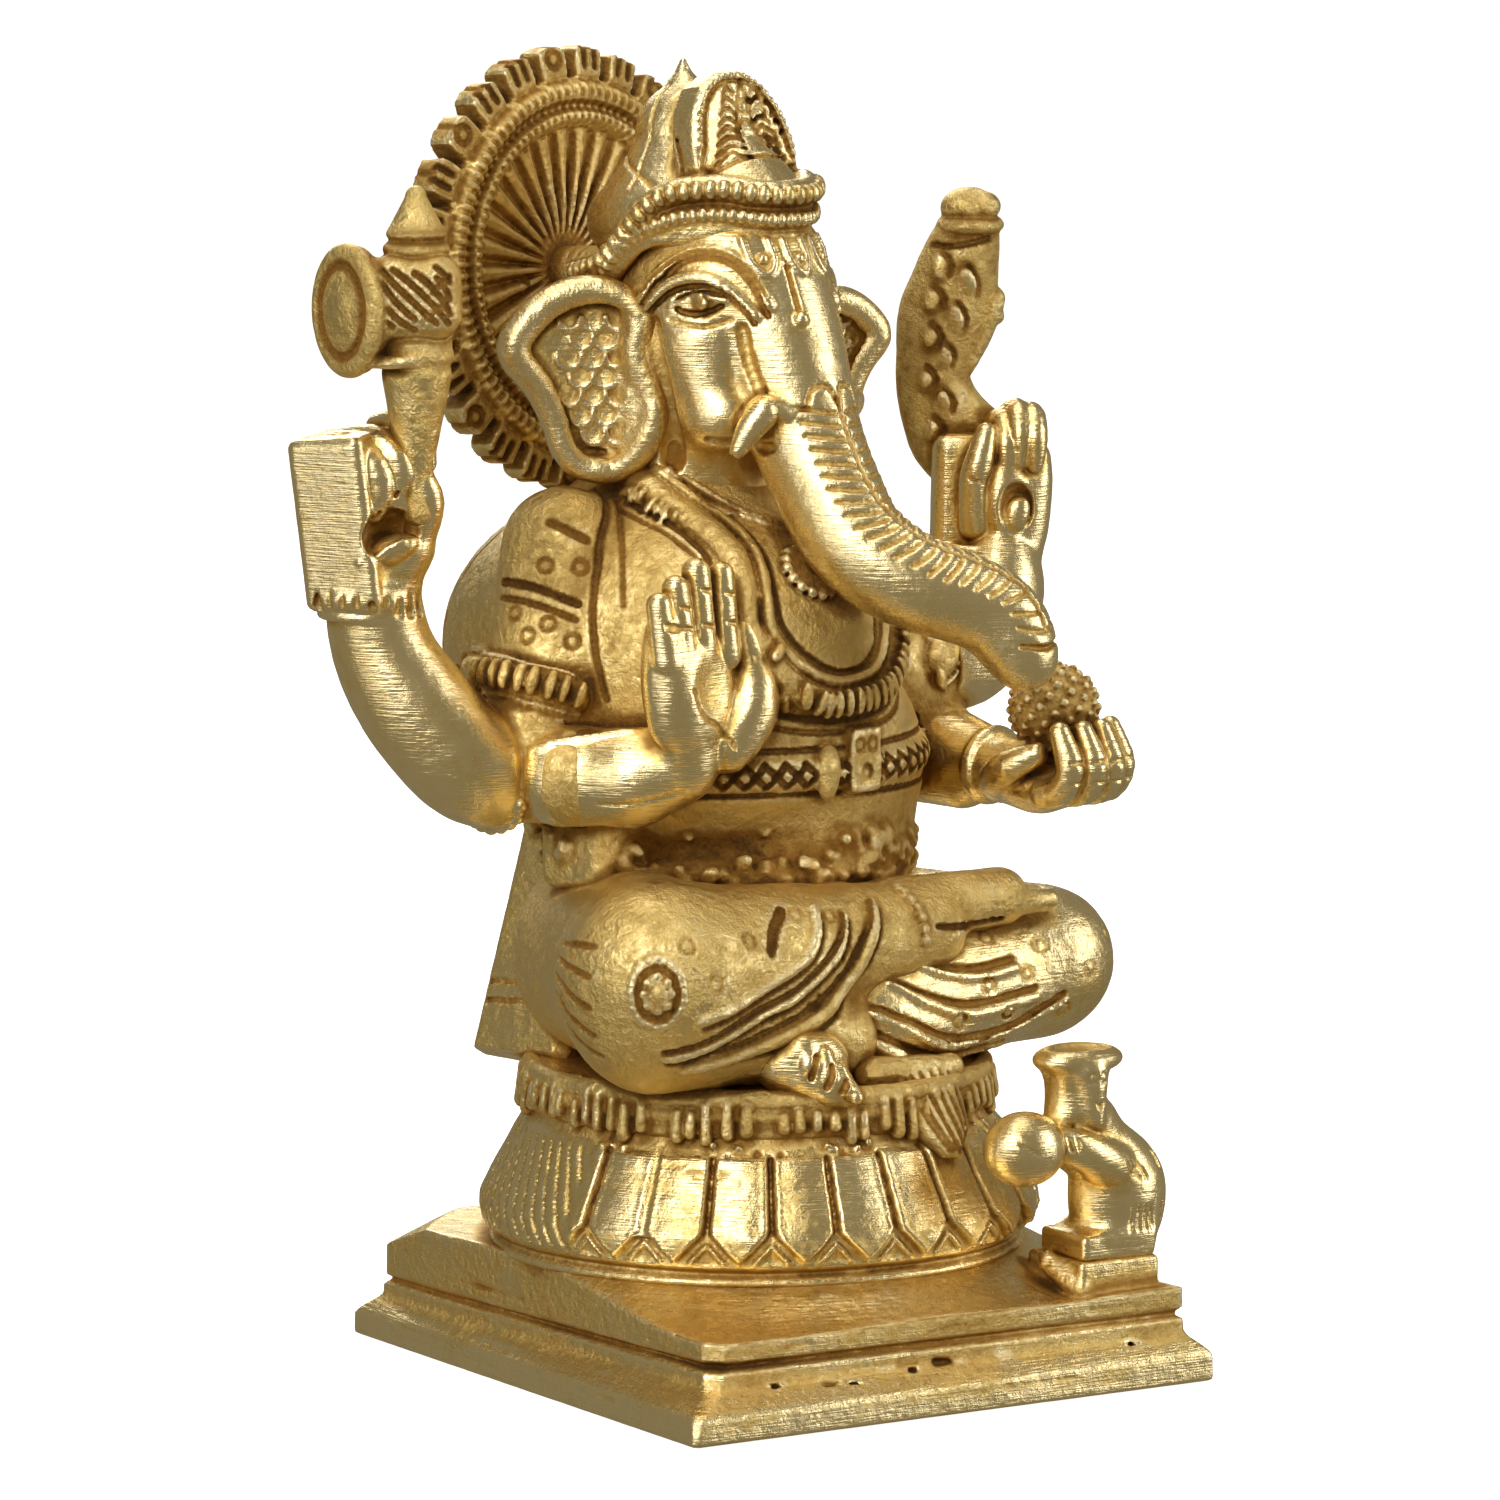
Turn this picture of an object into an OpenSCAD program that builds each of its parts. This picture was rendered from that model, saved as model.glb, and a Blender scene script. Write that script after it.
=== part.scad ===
// Seated four-armed Ganesha idol in sand-cast brass: separate castings butted,
// pinned and brazed together on a stepped plinth. The figure faces -Y, its own
// right hand is on the -X side, and the origin is the middle of the plinth's underside.

/* [Plinth] */
// Width of the lowest step, left to right
plinth_w = 78.5; // [76:0.5:84]
// Depth of the lowest step, front to back
plinth_d = 86.5; // [84:0.5:92]
// Height of the lowest step's upright edge
step_h = 3.6; // [3:0.1:5]
// How far the upper step is set in from the lower one
step_inset = 4.2; // [3:0.1:5]
// Height of the upper step's top edge
plinth_edge_h = 12.6; // [11:0.1:14]
// Height of the seat that the lotus stands on
plinth_seat_h = 15.6; // [15:0.1:17]
// Depth of the pocket under the plinth
pocket_depth = 7.5; // [6:0.5:9]
// Height of the corner block that the mouse sits on
mouse_block_h = 16.6; // [16:0.1:18]

/* [Lotus seat] */
// Radius of the lotus at the petals' widest point
lotus_r = 37.2; // [36:0.1:38]
// Radius of the neck under the bead ring
lotus_neck_r = 30.6; // [30:0.1:32]
// Height of the lotus seat's top face
seat_top = 40; // [39:0.5:41]

/* [Figure] */
// Turn of the figure on its plinth, in degrees
figure_turn = 12; // [8:1:14]
// Height where the torso meets the folded legs
waist_h = 64; // [63:0.5:65]
// Height where the neck meets the head
neck_h = 119; // [118:0.5:120]
// Height where the head meets the crown
crown_h = 152.5; // [152:0.5:153.5]
// Outer radius of the halo
halo_r = 29.5; // [28:0.5:30]
// Thickness of the halo plate at its rim
halo_t = 4; // [3.5:0.1:4.5]
// Turn of the halo about the upright, relative to the figure
halo_turn = 3; // [0:1:5]

/* [Joints] */
// Radius of the round spigots under the lotus, the torso and the head
spigot_r = 5; // [4:0.5:6]
// Radius of the pins in the arm joints
arm_pin_r = 1.6; // [1.4:0.1:2]
// Radius of the axe handle
axe_handle_r = 2.6; // [2.4:0.1:2.8]

/* [Hidden] */

// Plinth: where the figure stands, the upper step, the corner block and the pocket's rim and boss
figure_at = [-0.7, 4, 0];
top_w = plinth_w - 2 * step_inset;
top_d = plinth_d - 2 * step_inset;
block_w = 12.5;
block_d = 9.5;
block_x = top_w / 2 - block_w / 2;
block_y = -top_d / 2 + block_d / 2;
rim_t = 6;
boss_r = 8;
mouse_pin_r = 1.5;

// Lotus: height of the widest point and of the neck's lower end, and the flutes of the bead ring
petal_widest_h = plinth_seat_h + 6.4;
neck_low_h = seat_top - 7;
flutes = 60;

// Heights spanned by the spigots that cross the joints
seat_spigot_span = [9, 24];
body_spigot_span = [30, 74];
neck_spigot_span = [112, 126];
neck_at = [0, 12, 0];

// Centre of each flat arm joint, on the torso's side
joint_fr = [-31, 3, 79.5];
joint_fl = [30, -4, 79];
joint_rr = [-36, 12, 79.5];
joint_rl = [34, 0, 89];
arm_pin_length = 9;

// Held things: the axe's foot and head, the goad's curve centre, the sweet and the halo
axe_foot = [-46, 11, 118];
axe_lean = [0, -8, 0];
goad_at = [60, 18, 131];
modak_at = [28, -27, 86.5];
modak_r = 6.2;
halo_at = [0, 33, 142];
halo_stud_r = 3;

// Puts children into the figure's own frame on the plinth
module figure() {
    translate(figure_at) rotate(figure_turn) children();
}

// A ball with its own radius along each axis
module blob(at, radii, faces = 24) {
    translate(at) scale(radii) sphere(r = 1, $fn = faces);
}

// A tapered limb segment between two points
module limb(a, b, ra, rb, faces = 20) {
    hull() {
        translate(a) sphere(r = ra, $fn = faces);
        translate(b) sphere(r = rb, $fn = faces);
    }
}

// A round bar along X or Y, centred on a joint
module bar_x(at, r, length) {
    translate(at) rotate([0, 90, 0]) cylinder(r = r, h = length, center = true, $fn = 48);
}

module bar_y(at, r, length) {
    translate(at) rotate([90, 0, 0]) cylinder(r = r, h = length, center = true, $fn = 48);
}

// An upright round bar between two heights
module bar_z(r, span) {
    translate([0, 0, span[0]]) cylinder(r = r, h = span[1] - span[0], $fn = 64);
}

// A box centred in plan, between two heights
module box_on(w, d, z0, z1) {
    translate([-w / 2, -d / 2, z0]) cube([w, d, z1 - z0]);
}

// Everything below a height
module below(z) {
    box_on(240, 240, z - 200, z);
}

// Everything above a height
module above(z) {
    box_on(240, 240, z, z + 200);
}

// Two steps with a waisted cove between them, a low mound and the raised mouse block
module plinth() {
    color("goldenrod") difference() {
        union() {
            box_on(plinth_w, plinth_d, 0, step_h);
            hull() {
                box_on(plinth_w - 1.6, plinth_d - 1.6, step_h - 0.1, step_h);
                box_on(top_w - 1, top_d - 1, step_h + 2.2, step_h + 2.3);
            }
            box_on(top_w - 2, top_d - 2, step_h, plinth_edge_h - 3);
            box_on(top_w, top_d, plinth_edge_h - 3.4, plinth_edge_h);
            hull() {
                box_on(top_w, top_d, plinth_edge_h - 0.1, plinth_edge_h);
                translate([figure_at[0], figure_at[1] - 2, plinth_edge_h])
                    cylinder(r = 30, h = plinth_seat_h - plinth_edge_h, $fn = 48);
            }
            translate([block_x, block_y, 0]) box_on(block_w, block_d, step_h, mouse_block_h);
        }
        difference() {
            box_on(plinth_w - 2 * rim_t, plinth_d - 2 * rim_t, -1, pocket_depth);
            bar_z(boss_r, [-1, pocket_depth]);
        }
        figure() bar_z(spigot_r, seat_spigot_span);
        translate([block_x, block_y, mouse_block_h]) bar_z(mouse_pin_r, [-4, 4]);
    }
}

module seat_spigot() {
    color("peru") figure() bar_z(spigot_r, seat_spigot_span);
}

module lotus_outline() {
    polygon([[0, plinth_seat_h], [lotus_r - 2.6, plinth_seat_h], [lotus_r - 1.6, plinth_seat_h + 1],
        [lotus_r - 2, plinth_seat_h + 2.6], [lotus_r - 1, plinth_seat_h + 3.2],
        [lotus_r, petal_widest_h], [lotus_r - 1, petal_widest_h + 2.2],
        [lotus_neck_r + 1, neck_low_h - 0.6], [lotus_neck_r, neck_low_h],
        [lotus_neck_r, seat_top], [0, seat_top]]);
}

// Drum of petals: a foot roll, the flared petal band and the neck
module lotus_seat() {
    color("gold") figure() difference() {
        rotate_extrude($fn = 96) lotus_outline();
        bar_z(spigot_r, seat_spigot_span);
        bar_z(spigot_r, body_spigot_span);
    }
}

// Strip of short upright flutes around the neck
module seat_bead_ring() {
    color("darkgoldenrod") figure() difference() {
        union() {
            bar_z(lotus_neck_r + 0.8, [seat_top - 6, seat_top - 0.8]);
            for (i = [0 : flutes - 1]) rotate(i * 360 / flutes)
                translate([lotus_neck_r + 0.8, 0, seat_top - 5.6]) cylinder(r = 0.9, h = 4.4, $fn = 8);
        }
        bar_z(lotus_neck_r, [seat_top - 7, seat_top]);
    }
}

// Tapering slab that backs the seated figure, bevelled along both upright edges
module back_slab() {
    color("goldenrod") figure() intersection() {
        translate([0, 40.5, seat_top]) rotate([90, 0, 0]) linear_extrude(23)
            polygon([[-24, 0], [24, 0], [17, waist_h + 4 - seat_top], [-17, waist_h + 4 - seat_top]]);
        translate([0, 0, seat_top]) linear_extrude(waist_h - seat_top)
            polygon([[-25, 37], [-19, 40.5], [19, 40.5], [25, 37], [25, 22], [15, 18], [-15, 18], [-25, 22]]);
    }
}

// Space that the back slab takes out of the lap
module slab_space() {
    translate([-30, 18, seat_top - 1]) cube([60, 40, waist_h]);
}

module right_leg_shape() {
    limb([-14, 12, 53], [-30, -13, 55], 14, 12);
    limb([-30, -13, 55.5], [12, -20, 57], 11, 6.5);
    limb([-30, -12, 49], [-4, -18, 46], 10, 7);
    limb([12, -20, 58.5], [31, -22, 60.5], 5, 2.6, 16);
}

module left_leg_shape() {
    limb([14, 10, 52], [33, -16, 51], 14, 12);
    limb([33, -16, 48], [0, -20, 45], 10, 7);
}

module left_foot_shape() {
    limb([-14, -21, 45.5], [-6, -26, 42.6], 4.2, 3, 16);
}

// Rounded block of the lap between the thighs
module lap_shape() {
    hull() {
        translate([0, 2, seat_top]) cylinder(r = 22, h = 1, $fn = 40);
        translate([0, 6, waist_h - 1]) cylinder(r = 22, h = 1, $fn = 40);
    }
}

// Half of the lap on one side of the figure's middle: side is -1 for the right, 1 for the left
module half_lap(side) {
    intersection() {
        lap_shape();
        translate([side * 50, 0, 50]) cube([100, 100, 100], center = true);
    }
}

module torso_shape() {
    hull() {
        blob([0, 11, 83], [27, 28, 22]);
        blob([0, 15, 103], [25, 21, 14]);
        translate([0, 12, waist_h]) cylinder(r = 19, h = 1, $fn = 40);
        translate([0, 11, neck_h - 1]) cylinder(r = 12, h = 1, $fn = 40);
    }
}

// Right thigh, knee, crossed shin and foot
module right_leg() {
    color("gold") figure() difference() {
        union() {
            right_leg_shape();
            half_lap(-1);
        }
        left_foot_shape();
        torso_shape();
        slab_space();
        below(seat_top);
        bar_z(spigot_r, body_spigot_span);
    }
}

// Left thigh, knee, the shin tucked under the right one, and its foot
module left_leg() {
    color("gold") figure() difference() {
        union() {
            left_leg_shape();
            half_lap(1);
        }
        right_leg_shape();
        half_lap(-1);
        torso_shape();
        slab_space();
        below(seat_top);
        bar_z(spigot_r, body_spigot_span);
    }
}

// Left foot, which shows under the crossed shin
module left_foot() {
    color("khaki") figure() difference() {
        left_foot_shape();
        below(seat_top);
    }
}

// Folded end of the garment that hangs from the lap onto the petals
module garment_pleat() {
    color("khaki") figure() difference() {
        hull() {
            translate([-1, -28, 42.5]) sphere(r = 2.2, $fn = 16);
            translate([9, -27, 42.5]) sphere(r = 2.2, $fn = 16);
            translate([-1, -37, 30]) sphere(r = 1.4, $fn = 16);
            translate([7, -36.4, 30]) sphere(r = 1.4, $fn = 16);
        }
        rotate_extrude($fn = 96) lotus_outline();
        bar_z(lotus_neck_r + 1.8, [seat_top - 7, seat_top]);
        left_leg_shape();
        left_foot_shape();
        right_leg_shape();
    }
}

module body_spigot() {
    color("peru") figure() bar_z(spigot_r, body_spigot_span);
}

// Belly, chest, shoulders and both upper arms, down to the flat arm joints
module torso() {
    color("goldenrod") figure() difference() {
        union() {
            torso_shape();
            limb([-22, 15, 105], [-30, 11, 82], 9, 8, 24);
            limb([22, 6, 102], [29, 3, 84], 9, 8, 24);
            translate([joint_fr[0], joint_fr[1] + 5, joint_fr[2]]) bar_y([0, 0, 0], 6.6, 10);
            translate([joint_fl[0], joint_fl[1] + 5, joint_fl[2]]) bar_y([0, 0, 0], 6, 10);
            translate([joint_rr[0] + 5, joint_rr[1], joint_rr[2]]) bar_x([0, 0, 0], 6.8, 10);
            translate([joint_rl[0] - 5, joint_rl[1], joint_rl[2]]) bar_x([0, 0, 0], 6.4, 10);
        }
        below(waist_h);
        above(neck_h);
        bar_z(spigot_r, body_spigot_span);
        translate(neck_at) bar_z(spigot_r, neck_spigot_span);
        arm_pin_set();
    }
}

module neck_spigot() {
    color("peru") figure() translate(neck_at) bar_z(spigot_r, neck_spigot_span);
}

// The four pins, one across each arm joint
module arm_pin_set() {
    bar_y(joint_fr, arm_pin_r, arm_pin_length);
    bar_y(joint_fl, arm_pin_r, arm_pin_length);
    bar_x(joint_rr, arm_pin_r, arm_pin_length);
    bar_x(joint_rl, arm_pin_r, arm_pin_length);
}

module arm_pins() {
    color("peru") figure() arm_pin_set();
}

// Skull, cheeks and the trunk, which swings to the figure's left at its end
module head() {
    color("gold") figure() difference() {
        union() {
            difference() {
                blob([0, 9, 138], [14.5, 17.5, 20], 32);
                below(neck_h);
            }
            limb([-3, -1, 133], [-5, -1, 125], 8.5, 6);
            limb([0, -3, 137], [0, -12, 124], 9.5, 7.6);
            limb([0, -12, 124], [0, -20, 112], 7.6, 6.4);
            limb([0, -20, 112], [4, -25, 105.5], 6.4, 5.6);
            limb([4, -25, 105.5], [13, -31, 102], 5.6, 4.8);
            limb([13, -31, 102], [16, -34, 94.5], 4.8, 3.6);
        }
        above(crown_h);
        translate(neck_at) bar_z(spigot_r, neck_spigot_span);
        right_ear_shape();
        left_ear_shape();
        halo_stud_shape();
        right_tusk_shape();
    }
}

module right_tusk_shape() {
    translate([-9, -6, 122]) rotate([25, -12, 0]) cylinder(r1 = 0.9, r2 = 2, h = 8, $fn = 40);
}

// Short pointed tusk, let into the cheek beside the trunk
module right_tusk() {
    color("khaki") figure() right_tusk_shape();
}

module ear_outline() {
    polygon([[0, 8], [6, 11], [13, 10], [20, 3], [19, 0], [11, -10], [7, -15], [2, -14], [0, -8]]);
}

// Ear plates stand beside the head, swept back
module right_ear_shape() {
    translate([-11.5, 8, 131]) rotate([0, 0, 180 - 51]) rotate([90, 0, 0])
        linear_extrude(3.4, center = true) ear_outline();
}

module left_ear_shape() {
    translate([12, 4, 131]) rotate([0, 0, 12]) rotate([90, 0, 0])
        linear_extrude(3.4, center = true) ear_outline();
}

module right_ear() {
    color("khaki") figure() right_ear_shape();
}

module left_ear() {
    color("khaki") figure() left_ear_shape();
}

// Tall crown: a wrapped band, an upright front plate and a ridge that runs back to a point
module crown() {
    color("gold") figure() difference() {
        union() {
            hull() {
                blob([0, 8, crown_h + 1], [14.2, 15.5, 4.5]);
                blob([0, 9, crown_h + 7], [11, 12, 4]);
            }
            hull() {
                translate([0, 3.4, crown_h + 3]) cube([18, 3, 6], center = true);
                translate([0, 3.4, crown_h + 14]) cube([10, 3, 6.4], center = true);
            }
            hull() {
                translate([0, 10, crown_h + 3]) cube([18, 12, 6], center = true);
                translate([0, 12, crown_h + 17]) cube([3, 5, 3], center = true);
            }
        }
        below(crown_h);
    }
}

// Round plate, hollowed like a dish, with a scalloped edge, two raised rings and radial flutes
module halo() {
    scallops = 26;
    color("goldenrod") figure() translate(halo_at) rotate([90, 0, halo_turn]) difference() {
        union() {
            rotate_extrude($fn = 96) polygon([
                [0, -halo_t], [halo_r - 2.6, -halo_t], [halo_r - 2.6, -0.4], [halo_r - 4.4, 0.6],
                [halo_r - 6, 0.6], [halo_r - 8, -0.6], [6, -2], [0, -2]]);
            for (i = [0 : scallops - 1]) rotate(i * 360 / scallops)
                translate([halo_r - 2.8, 0, -halo_t]) cylinder(r = 2.8, h = halo_t - 0.4, $fn = 12);
        }
        translate([0, 0, -halo_t - 1]) cylinder(r = halo_stud_r, h = 8, $fn = 48);
    }
}

module halo_stud_shape() {
    translate(halo_at) rotate([90, 0, halo_turn]) translate([0, 0, -halo_t])
        cylinder(r = halo_stud_r, h = 14, $fn = 48);
}

// Stud that carries the halo behind the head
module halo_stud() {
    color("peru") figure() halo_stud_shape();
}

// Forearm reaching forward, with the open palm raised
module front_right_arm() {
    color("gold") figure() difference() {
        union() {
            limb([-31, 4, 79.5], [-25, -7, 80.5], 6.6, 6);
            hull() {
                translate([-25, -8, 81]) sphere(r = 5, $fn = 20);
                translate([-27, -14, 92]) scale([1, 0.6, 1]) sphere(r = 6, $fn = 20);
                translate([-18, -14, 90]) scale([1, 0.7, 1]) sphere(r = 5, $fn = 20);
                translate([-24, -12.6, 107]) scale([1, 0.6, 0.6]) sphere(r = 4.4, $fn = 20);
            }
        }
        translate([-60, joint_fr[1], 40]) cube([60, 40, 80]);
        torso_shape();
        arm_pin_set();
    }
}

// Forearm reaching forward, with the hand cupped upwards
module front_left_arm() {
    color("gold") figure() difference() {
        union() {
            limb([30, -3, 79], [29, -15, 77.5], 6, 5);
            hull() {
                translate([29, -15, 77.5]) sphere(r = 5, $fn = 20);
                translate([28, -27, 77]) scale([1.3, 1, 0.7]) sphere(r = 5.4, $fn = 20);
                translate([30, -36, 80]) scale([1.4, 0.7, 0.8]) sphere(r = 3.6, $fn = 20);
            }
        }
        translate([0, joint_fl[1], 40]) cube([60, 40, 80]);
        torso_shape();
        modak_shape();
        arm_pin_set();
    }
}

module modak_shape() {
    translate(modak_at) sphere(r = modak_r, $fn = 48);
}

// Round sweet, resting in the cupped hand
module modak() {
    color("darkgoldenrod") figure() modak_shape();
}

// Forearm that bends up and out to a fist around the axe
module rear_right_arm() {
    color("gold") figure() difference() {
        union() {
            limb([-37, 12, 79.5], [-42, 14, 82.5], 6.8, 7.4);
            limb([-42, 14, 82.5], [-47, 19, 92], 7.4, 7);
            limb([-47, 19, 92], [-49.5, 19.6, 102], 7, 6.4);
            hull() {
                translate([-50, 20, 106]) cube([11, 12, 4], center = true);
                translate([-50.5, 22, 118]) cube([11, 14, 8], center = true);
                translate([-46, 13, 119]) sphere(r = 5, $fn = 20);
            }
        }
        translate([joint_rr[0], -20, 40]) cube([60, 80, 80]);
        arm_pin_set();
        axe_handle();
    }
}

// Frame of the axe: its foot, leaning back a little
module axe_frame() {
    translate(axe_foot) rotate(axe_lean) children();
}

module axe_handle() {
    axe_frame() cylinder(r = axe_handle_r, h = 22, $fn = 48);
}

// Round handle, a barrel head with a disc-shaped blade, and a ringed finial
module axe() {
    color("goldenrod") figure() {
        axe_handle();
        axe_frame() rotate_extrude($fn = 48) polygon([
            [0, 16], [2.6, 16], [3.4, 17.5], [3.4, 19], [5.6, 20], [5.9, 24], [5.4, 28.5],
            [3.6, 29.5], [3.8, 31.5], [2.8, 32], [3, 34], [2, 34.6], [2, 36.4], [0, 38]]);
        axe_frame() rotate([0, 0, 35]) translate([0, 13, 23.5]) rotate([90, 0, 0])
            scale([0.7, 1, 1]) cylinder(r = 8, h = 4.4, $fn = 48);
        axe_frame() rotate([0, 0, 35]) translate([0, 7.5, 23.5]) rotate([90, 0, 0])
            cylinder(r = 3.4, h = 8, center = true, $fn = 48);
    }
}

// Forearm that bends up and out to a fist around the goad
module rear_left_arm() {
    color("gold") figure() difference() {
        union() {
            limb([35, 0, 89], [41, 0, 92], 6.4, 6);
            limb([41, 0, 92], [48, 0, 102], 6, 5);
            hull() {
                translate([48, 0, 104]) sphere(r = 4.8, $fn = 20);
                translate([50.5, 4, 113]) scale([0.9, 1.2, 1]) sphere(r = 6, $fn = 20);
                translate([51, 2, 119]) sphere(r = 4, $fn = 20);
            }
        }
        translate([joint_rl[0] - 60, -40, 40]) cube([60, 80, 80]);
        arm_pin_set();
        goad_shape();
    }
}

// Thick crescent with a ringed knob on top and a small hook inside
module goad_shape() {
    translate(goad_at) rotate([90, 0, 0]) {
        intersection() {
            rotate_extrude($fn = 64) translate([17, 0]) circle(r = 5, $fn = 32);
            translate([-30, -16, -10]) cube([28, 32, 20]);
        }
    }
}

module goad() {
    color("goldenrod") figure() {
        goad_shape();
        translate([50.5, 18, 144]) rotate_extrude($fn = 48)
            polygon([[0, 0], [4, 0], [4.4, 2], [3.2, 3.4], [3.8, 4.6], [2.4, 6.4], [0, 8]]);
    }
}

// Mouse sitting up on the corner block, with its cupped ears raised
module mouse_shape() {
    translate([block_x, block_y, 0]) {
        hull() {
            translate([0, 0, mouse_block_h]) box_on(9, 8, 0, 1);
            translate([2, 1.5, mouse_block_h + 9]) sphere(r = 5, $fn = 20);
        }
        limb([1, 1.5, mouse_block_h + 10], [-3, 0, mouse_block_h + 20], 4.8, 3);
        hull() {
            translate([-3, 0, mouse_block_h + 20]) sphere(r = 3.2, $fn = 20);
            translate([-4, -1, mouse_block_h + 26]) scale([1.6, 1.2, 0.5]) sphere(r = 3.6, $fn = 20);
        }
        limb([0, -1, mouse_block_h + 12], [-8, -3, mouse_block_h + 14], 3.2, 2.6, 16);
    }
}

module mouse_sweet_shape() {
    translate([block_x - 12, block_y - 2.5, mouse_block_h + 13.6]) sphere(r = 4.3, $fn = 40);
}

module mouse() {
    color("gold") difference() {
        mouse_shape();
        mouse_sweet_shape();
        translate([block_x, block_y, mouse_block_h]) bar_z(mouse_pin_r, [-4, 4]);
    }
}

// Sweet held out in the mouse's paws
module mouse_sweet() {
    color("darkgoldenrod") mouse_sweet_shape();
}

// Pin that keys the mouse to its block
module mouse_pin() {
    color("peru") translate([block_x, block_y, mouse_block_h]) bar_z(mouse_pin_r, [-4, 4]);
}

plinth();
lotus_seat();
seat_bead_ring();
seat_spigot();
back_slab();
right_leg();
left_leg();
left_foot();
garment_pleat();
body_spigot();
torso();
neck_spigot();
head();
right_tusk();
right_ear();
left_ear();
crown();
halo();
halo_stud();
arm_pins();
front_right_arm();
front_left_arm();
modak();
rear_right_arm();
axe();
rear_left_arm();
goad();
mouse();
mouse_sweet();
mouse_pin();
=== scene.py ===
"""Looks of the brass Ganesha idol.

Each casting is sculpted as a signed distance field, meshed and given aged brass.
"""
import math

import bpy
import numpy as np
import openvdb as vdb
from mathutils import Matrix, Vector


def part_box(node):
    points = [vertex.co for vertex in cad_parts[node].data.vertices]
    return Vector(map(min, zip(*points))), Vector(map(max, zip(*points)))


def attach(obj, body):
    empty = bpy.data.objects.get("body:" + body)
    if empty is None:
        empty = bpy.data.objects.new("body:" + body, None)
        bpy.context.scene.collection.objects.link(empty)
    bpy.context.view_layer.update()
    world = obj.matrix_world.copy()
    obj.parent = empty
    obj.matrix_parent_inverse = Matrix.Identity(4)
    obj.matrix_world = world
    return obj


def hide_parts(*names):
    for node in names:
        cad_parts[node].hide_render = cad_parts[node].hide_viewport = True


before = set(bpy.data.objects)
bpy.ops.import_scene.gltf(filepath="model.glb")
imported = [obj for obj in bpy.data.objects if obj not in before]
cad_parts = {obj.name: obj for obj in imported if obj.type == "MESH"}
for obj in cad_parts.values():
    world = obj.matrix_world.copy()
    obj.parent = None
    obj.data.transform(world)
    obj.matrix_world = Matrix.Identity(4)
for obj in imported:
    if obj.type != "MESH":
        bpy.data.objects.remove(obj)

MM = 0.001
CELL = 0.36
FINE = 0.28
FAR = 9.0
FIGURE_TURN = math.radians(12)
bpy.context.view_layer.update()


def node_middle(node):
    """Middle of a CAD node's box, in millimetres."""
    low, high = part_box(node)
    return np.array([(a + b) / 2 / MM for a, b in zip(low, high)])


def node_low(node):
    return np.array(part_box(node)[0]) / MM


def node_high(node):
    return np.array(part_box(node)[1]) / MM


# The figure's own frame stands on the lotus's middle, turned on the plinth.
# -Y is where the figure looks.
LOTUS = node_middle("lotus_seat")
FIGURE_AT = np.array([LOTUS[0], LOTUS[1], 0.0])
SEAT_LOW = node_low("lotus_seat")[2]
SEAT_TOP = node_high("lotus_seat")[2]
LOTUS_R = (node_high("lotus_seat")[0] - node_low("lotus_seat")[0]) / 2


# ---------------------------------------------------------------- vectors and paths


def unit(v):
    v = np.asarray(v, float)
    return v / np.linalg.norm(v)


def axes_for(z_dir, x_hint=(1, 0, 0)):
    """Three axes as rows: the third along z_dir, the first as near x_hint as it can be."""
    z = unit(z_dir)
    x = np.asarray(x_hint, float) - z * np.dot(x_hint, z)
    if np.linalg.norm(x) < 1e-6:
        x = np.cross(z, (0, 1, 0.3))
    x = unit(x)
    return np.array([x, np.cross(z, x), z])


def curve(points, step=1.0, closed=False):
    """Points at an even spacing along a smooth curve through the given ones."""
    p = np.asarray(points, float)
    n = len(p)
    spans = n if closed else n - 1
    out = []
    for i in range(spans):
        if closed:
            a, b, c, d = p[(i - 1) % n], p[i], p[(i + 1) % n], p[(i + 2) % n]
        else:
            b, c = p[i], p[i + 1]
            a = p[i - 1] if i else 2 * b - c
            d = p[i + 2] if i + 2 < n else 2 * c - b
        for t in np.linspace(0, 1, 12, endpoint=False):
            square = (2 * a - 5 * b + 4 * c - d) * t**2
            cube = (3 * b - a - 3 * c + d) * t**3
            out.append(0.5 * (2 * b + (c - a) * t + square + cube))
    out.append(p[0] if closed else p[-1])
    out = np.array(out)
    run = np.concatenate([[0], np.cumsum(np.linalg.norm(np.diff(out, axis=0), axis=1))])
    count = max(2, int(round(run[-1] / step)) + 1)
    at = np.linspace(0, run[-1], count)
    even = np.stack([np.interp(at, run, out[:, k]) for k in range(3)], 1)
    return even[:-1] if closed else even


def arc(middle, radius, start, end, axes=None, squash=1.0, count=24):
    """Points of an arc in degrees, in the plane of the first two axes."""
    axes = np.eye(3) if axes is None else axes
    t = np.radians(np.linspace(start, end, count))
    flat = np.outer(np.cos(t), axes[0]) * radius + np.outer(np.sin(t), axes[1]) * radius * squash
    return np.asarray(middle, float) + flat


def highest(first, *rest):
    for field in rest:
        first = np.maximum(first, field)
    return first


def smooth_low(a, b, k):
    """The lower of two fields, blended over a width of k."""
    if k <= 0:
        return np.minimum(a, b)
    h = np.clip(0.5 + 0.5 * (a - b) / k, 0, 1)
    return a + (b - a) * h - k * h * (1 - h)


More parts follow.
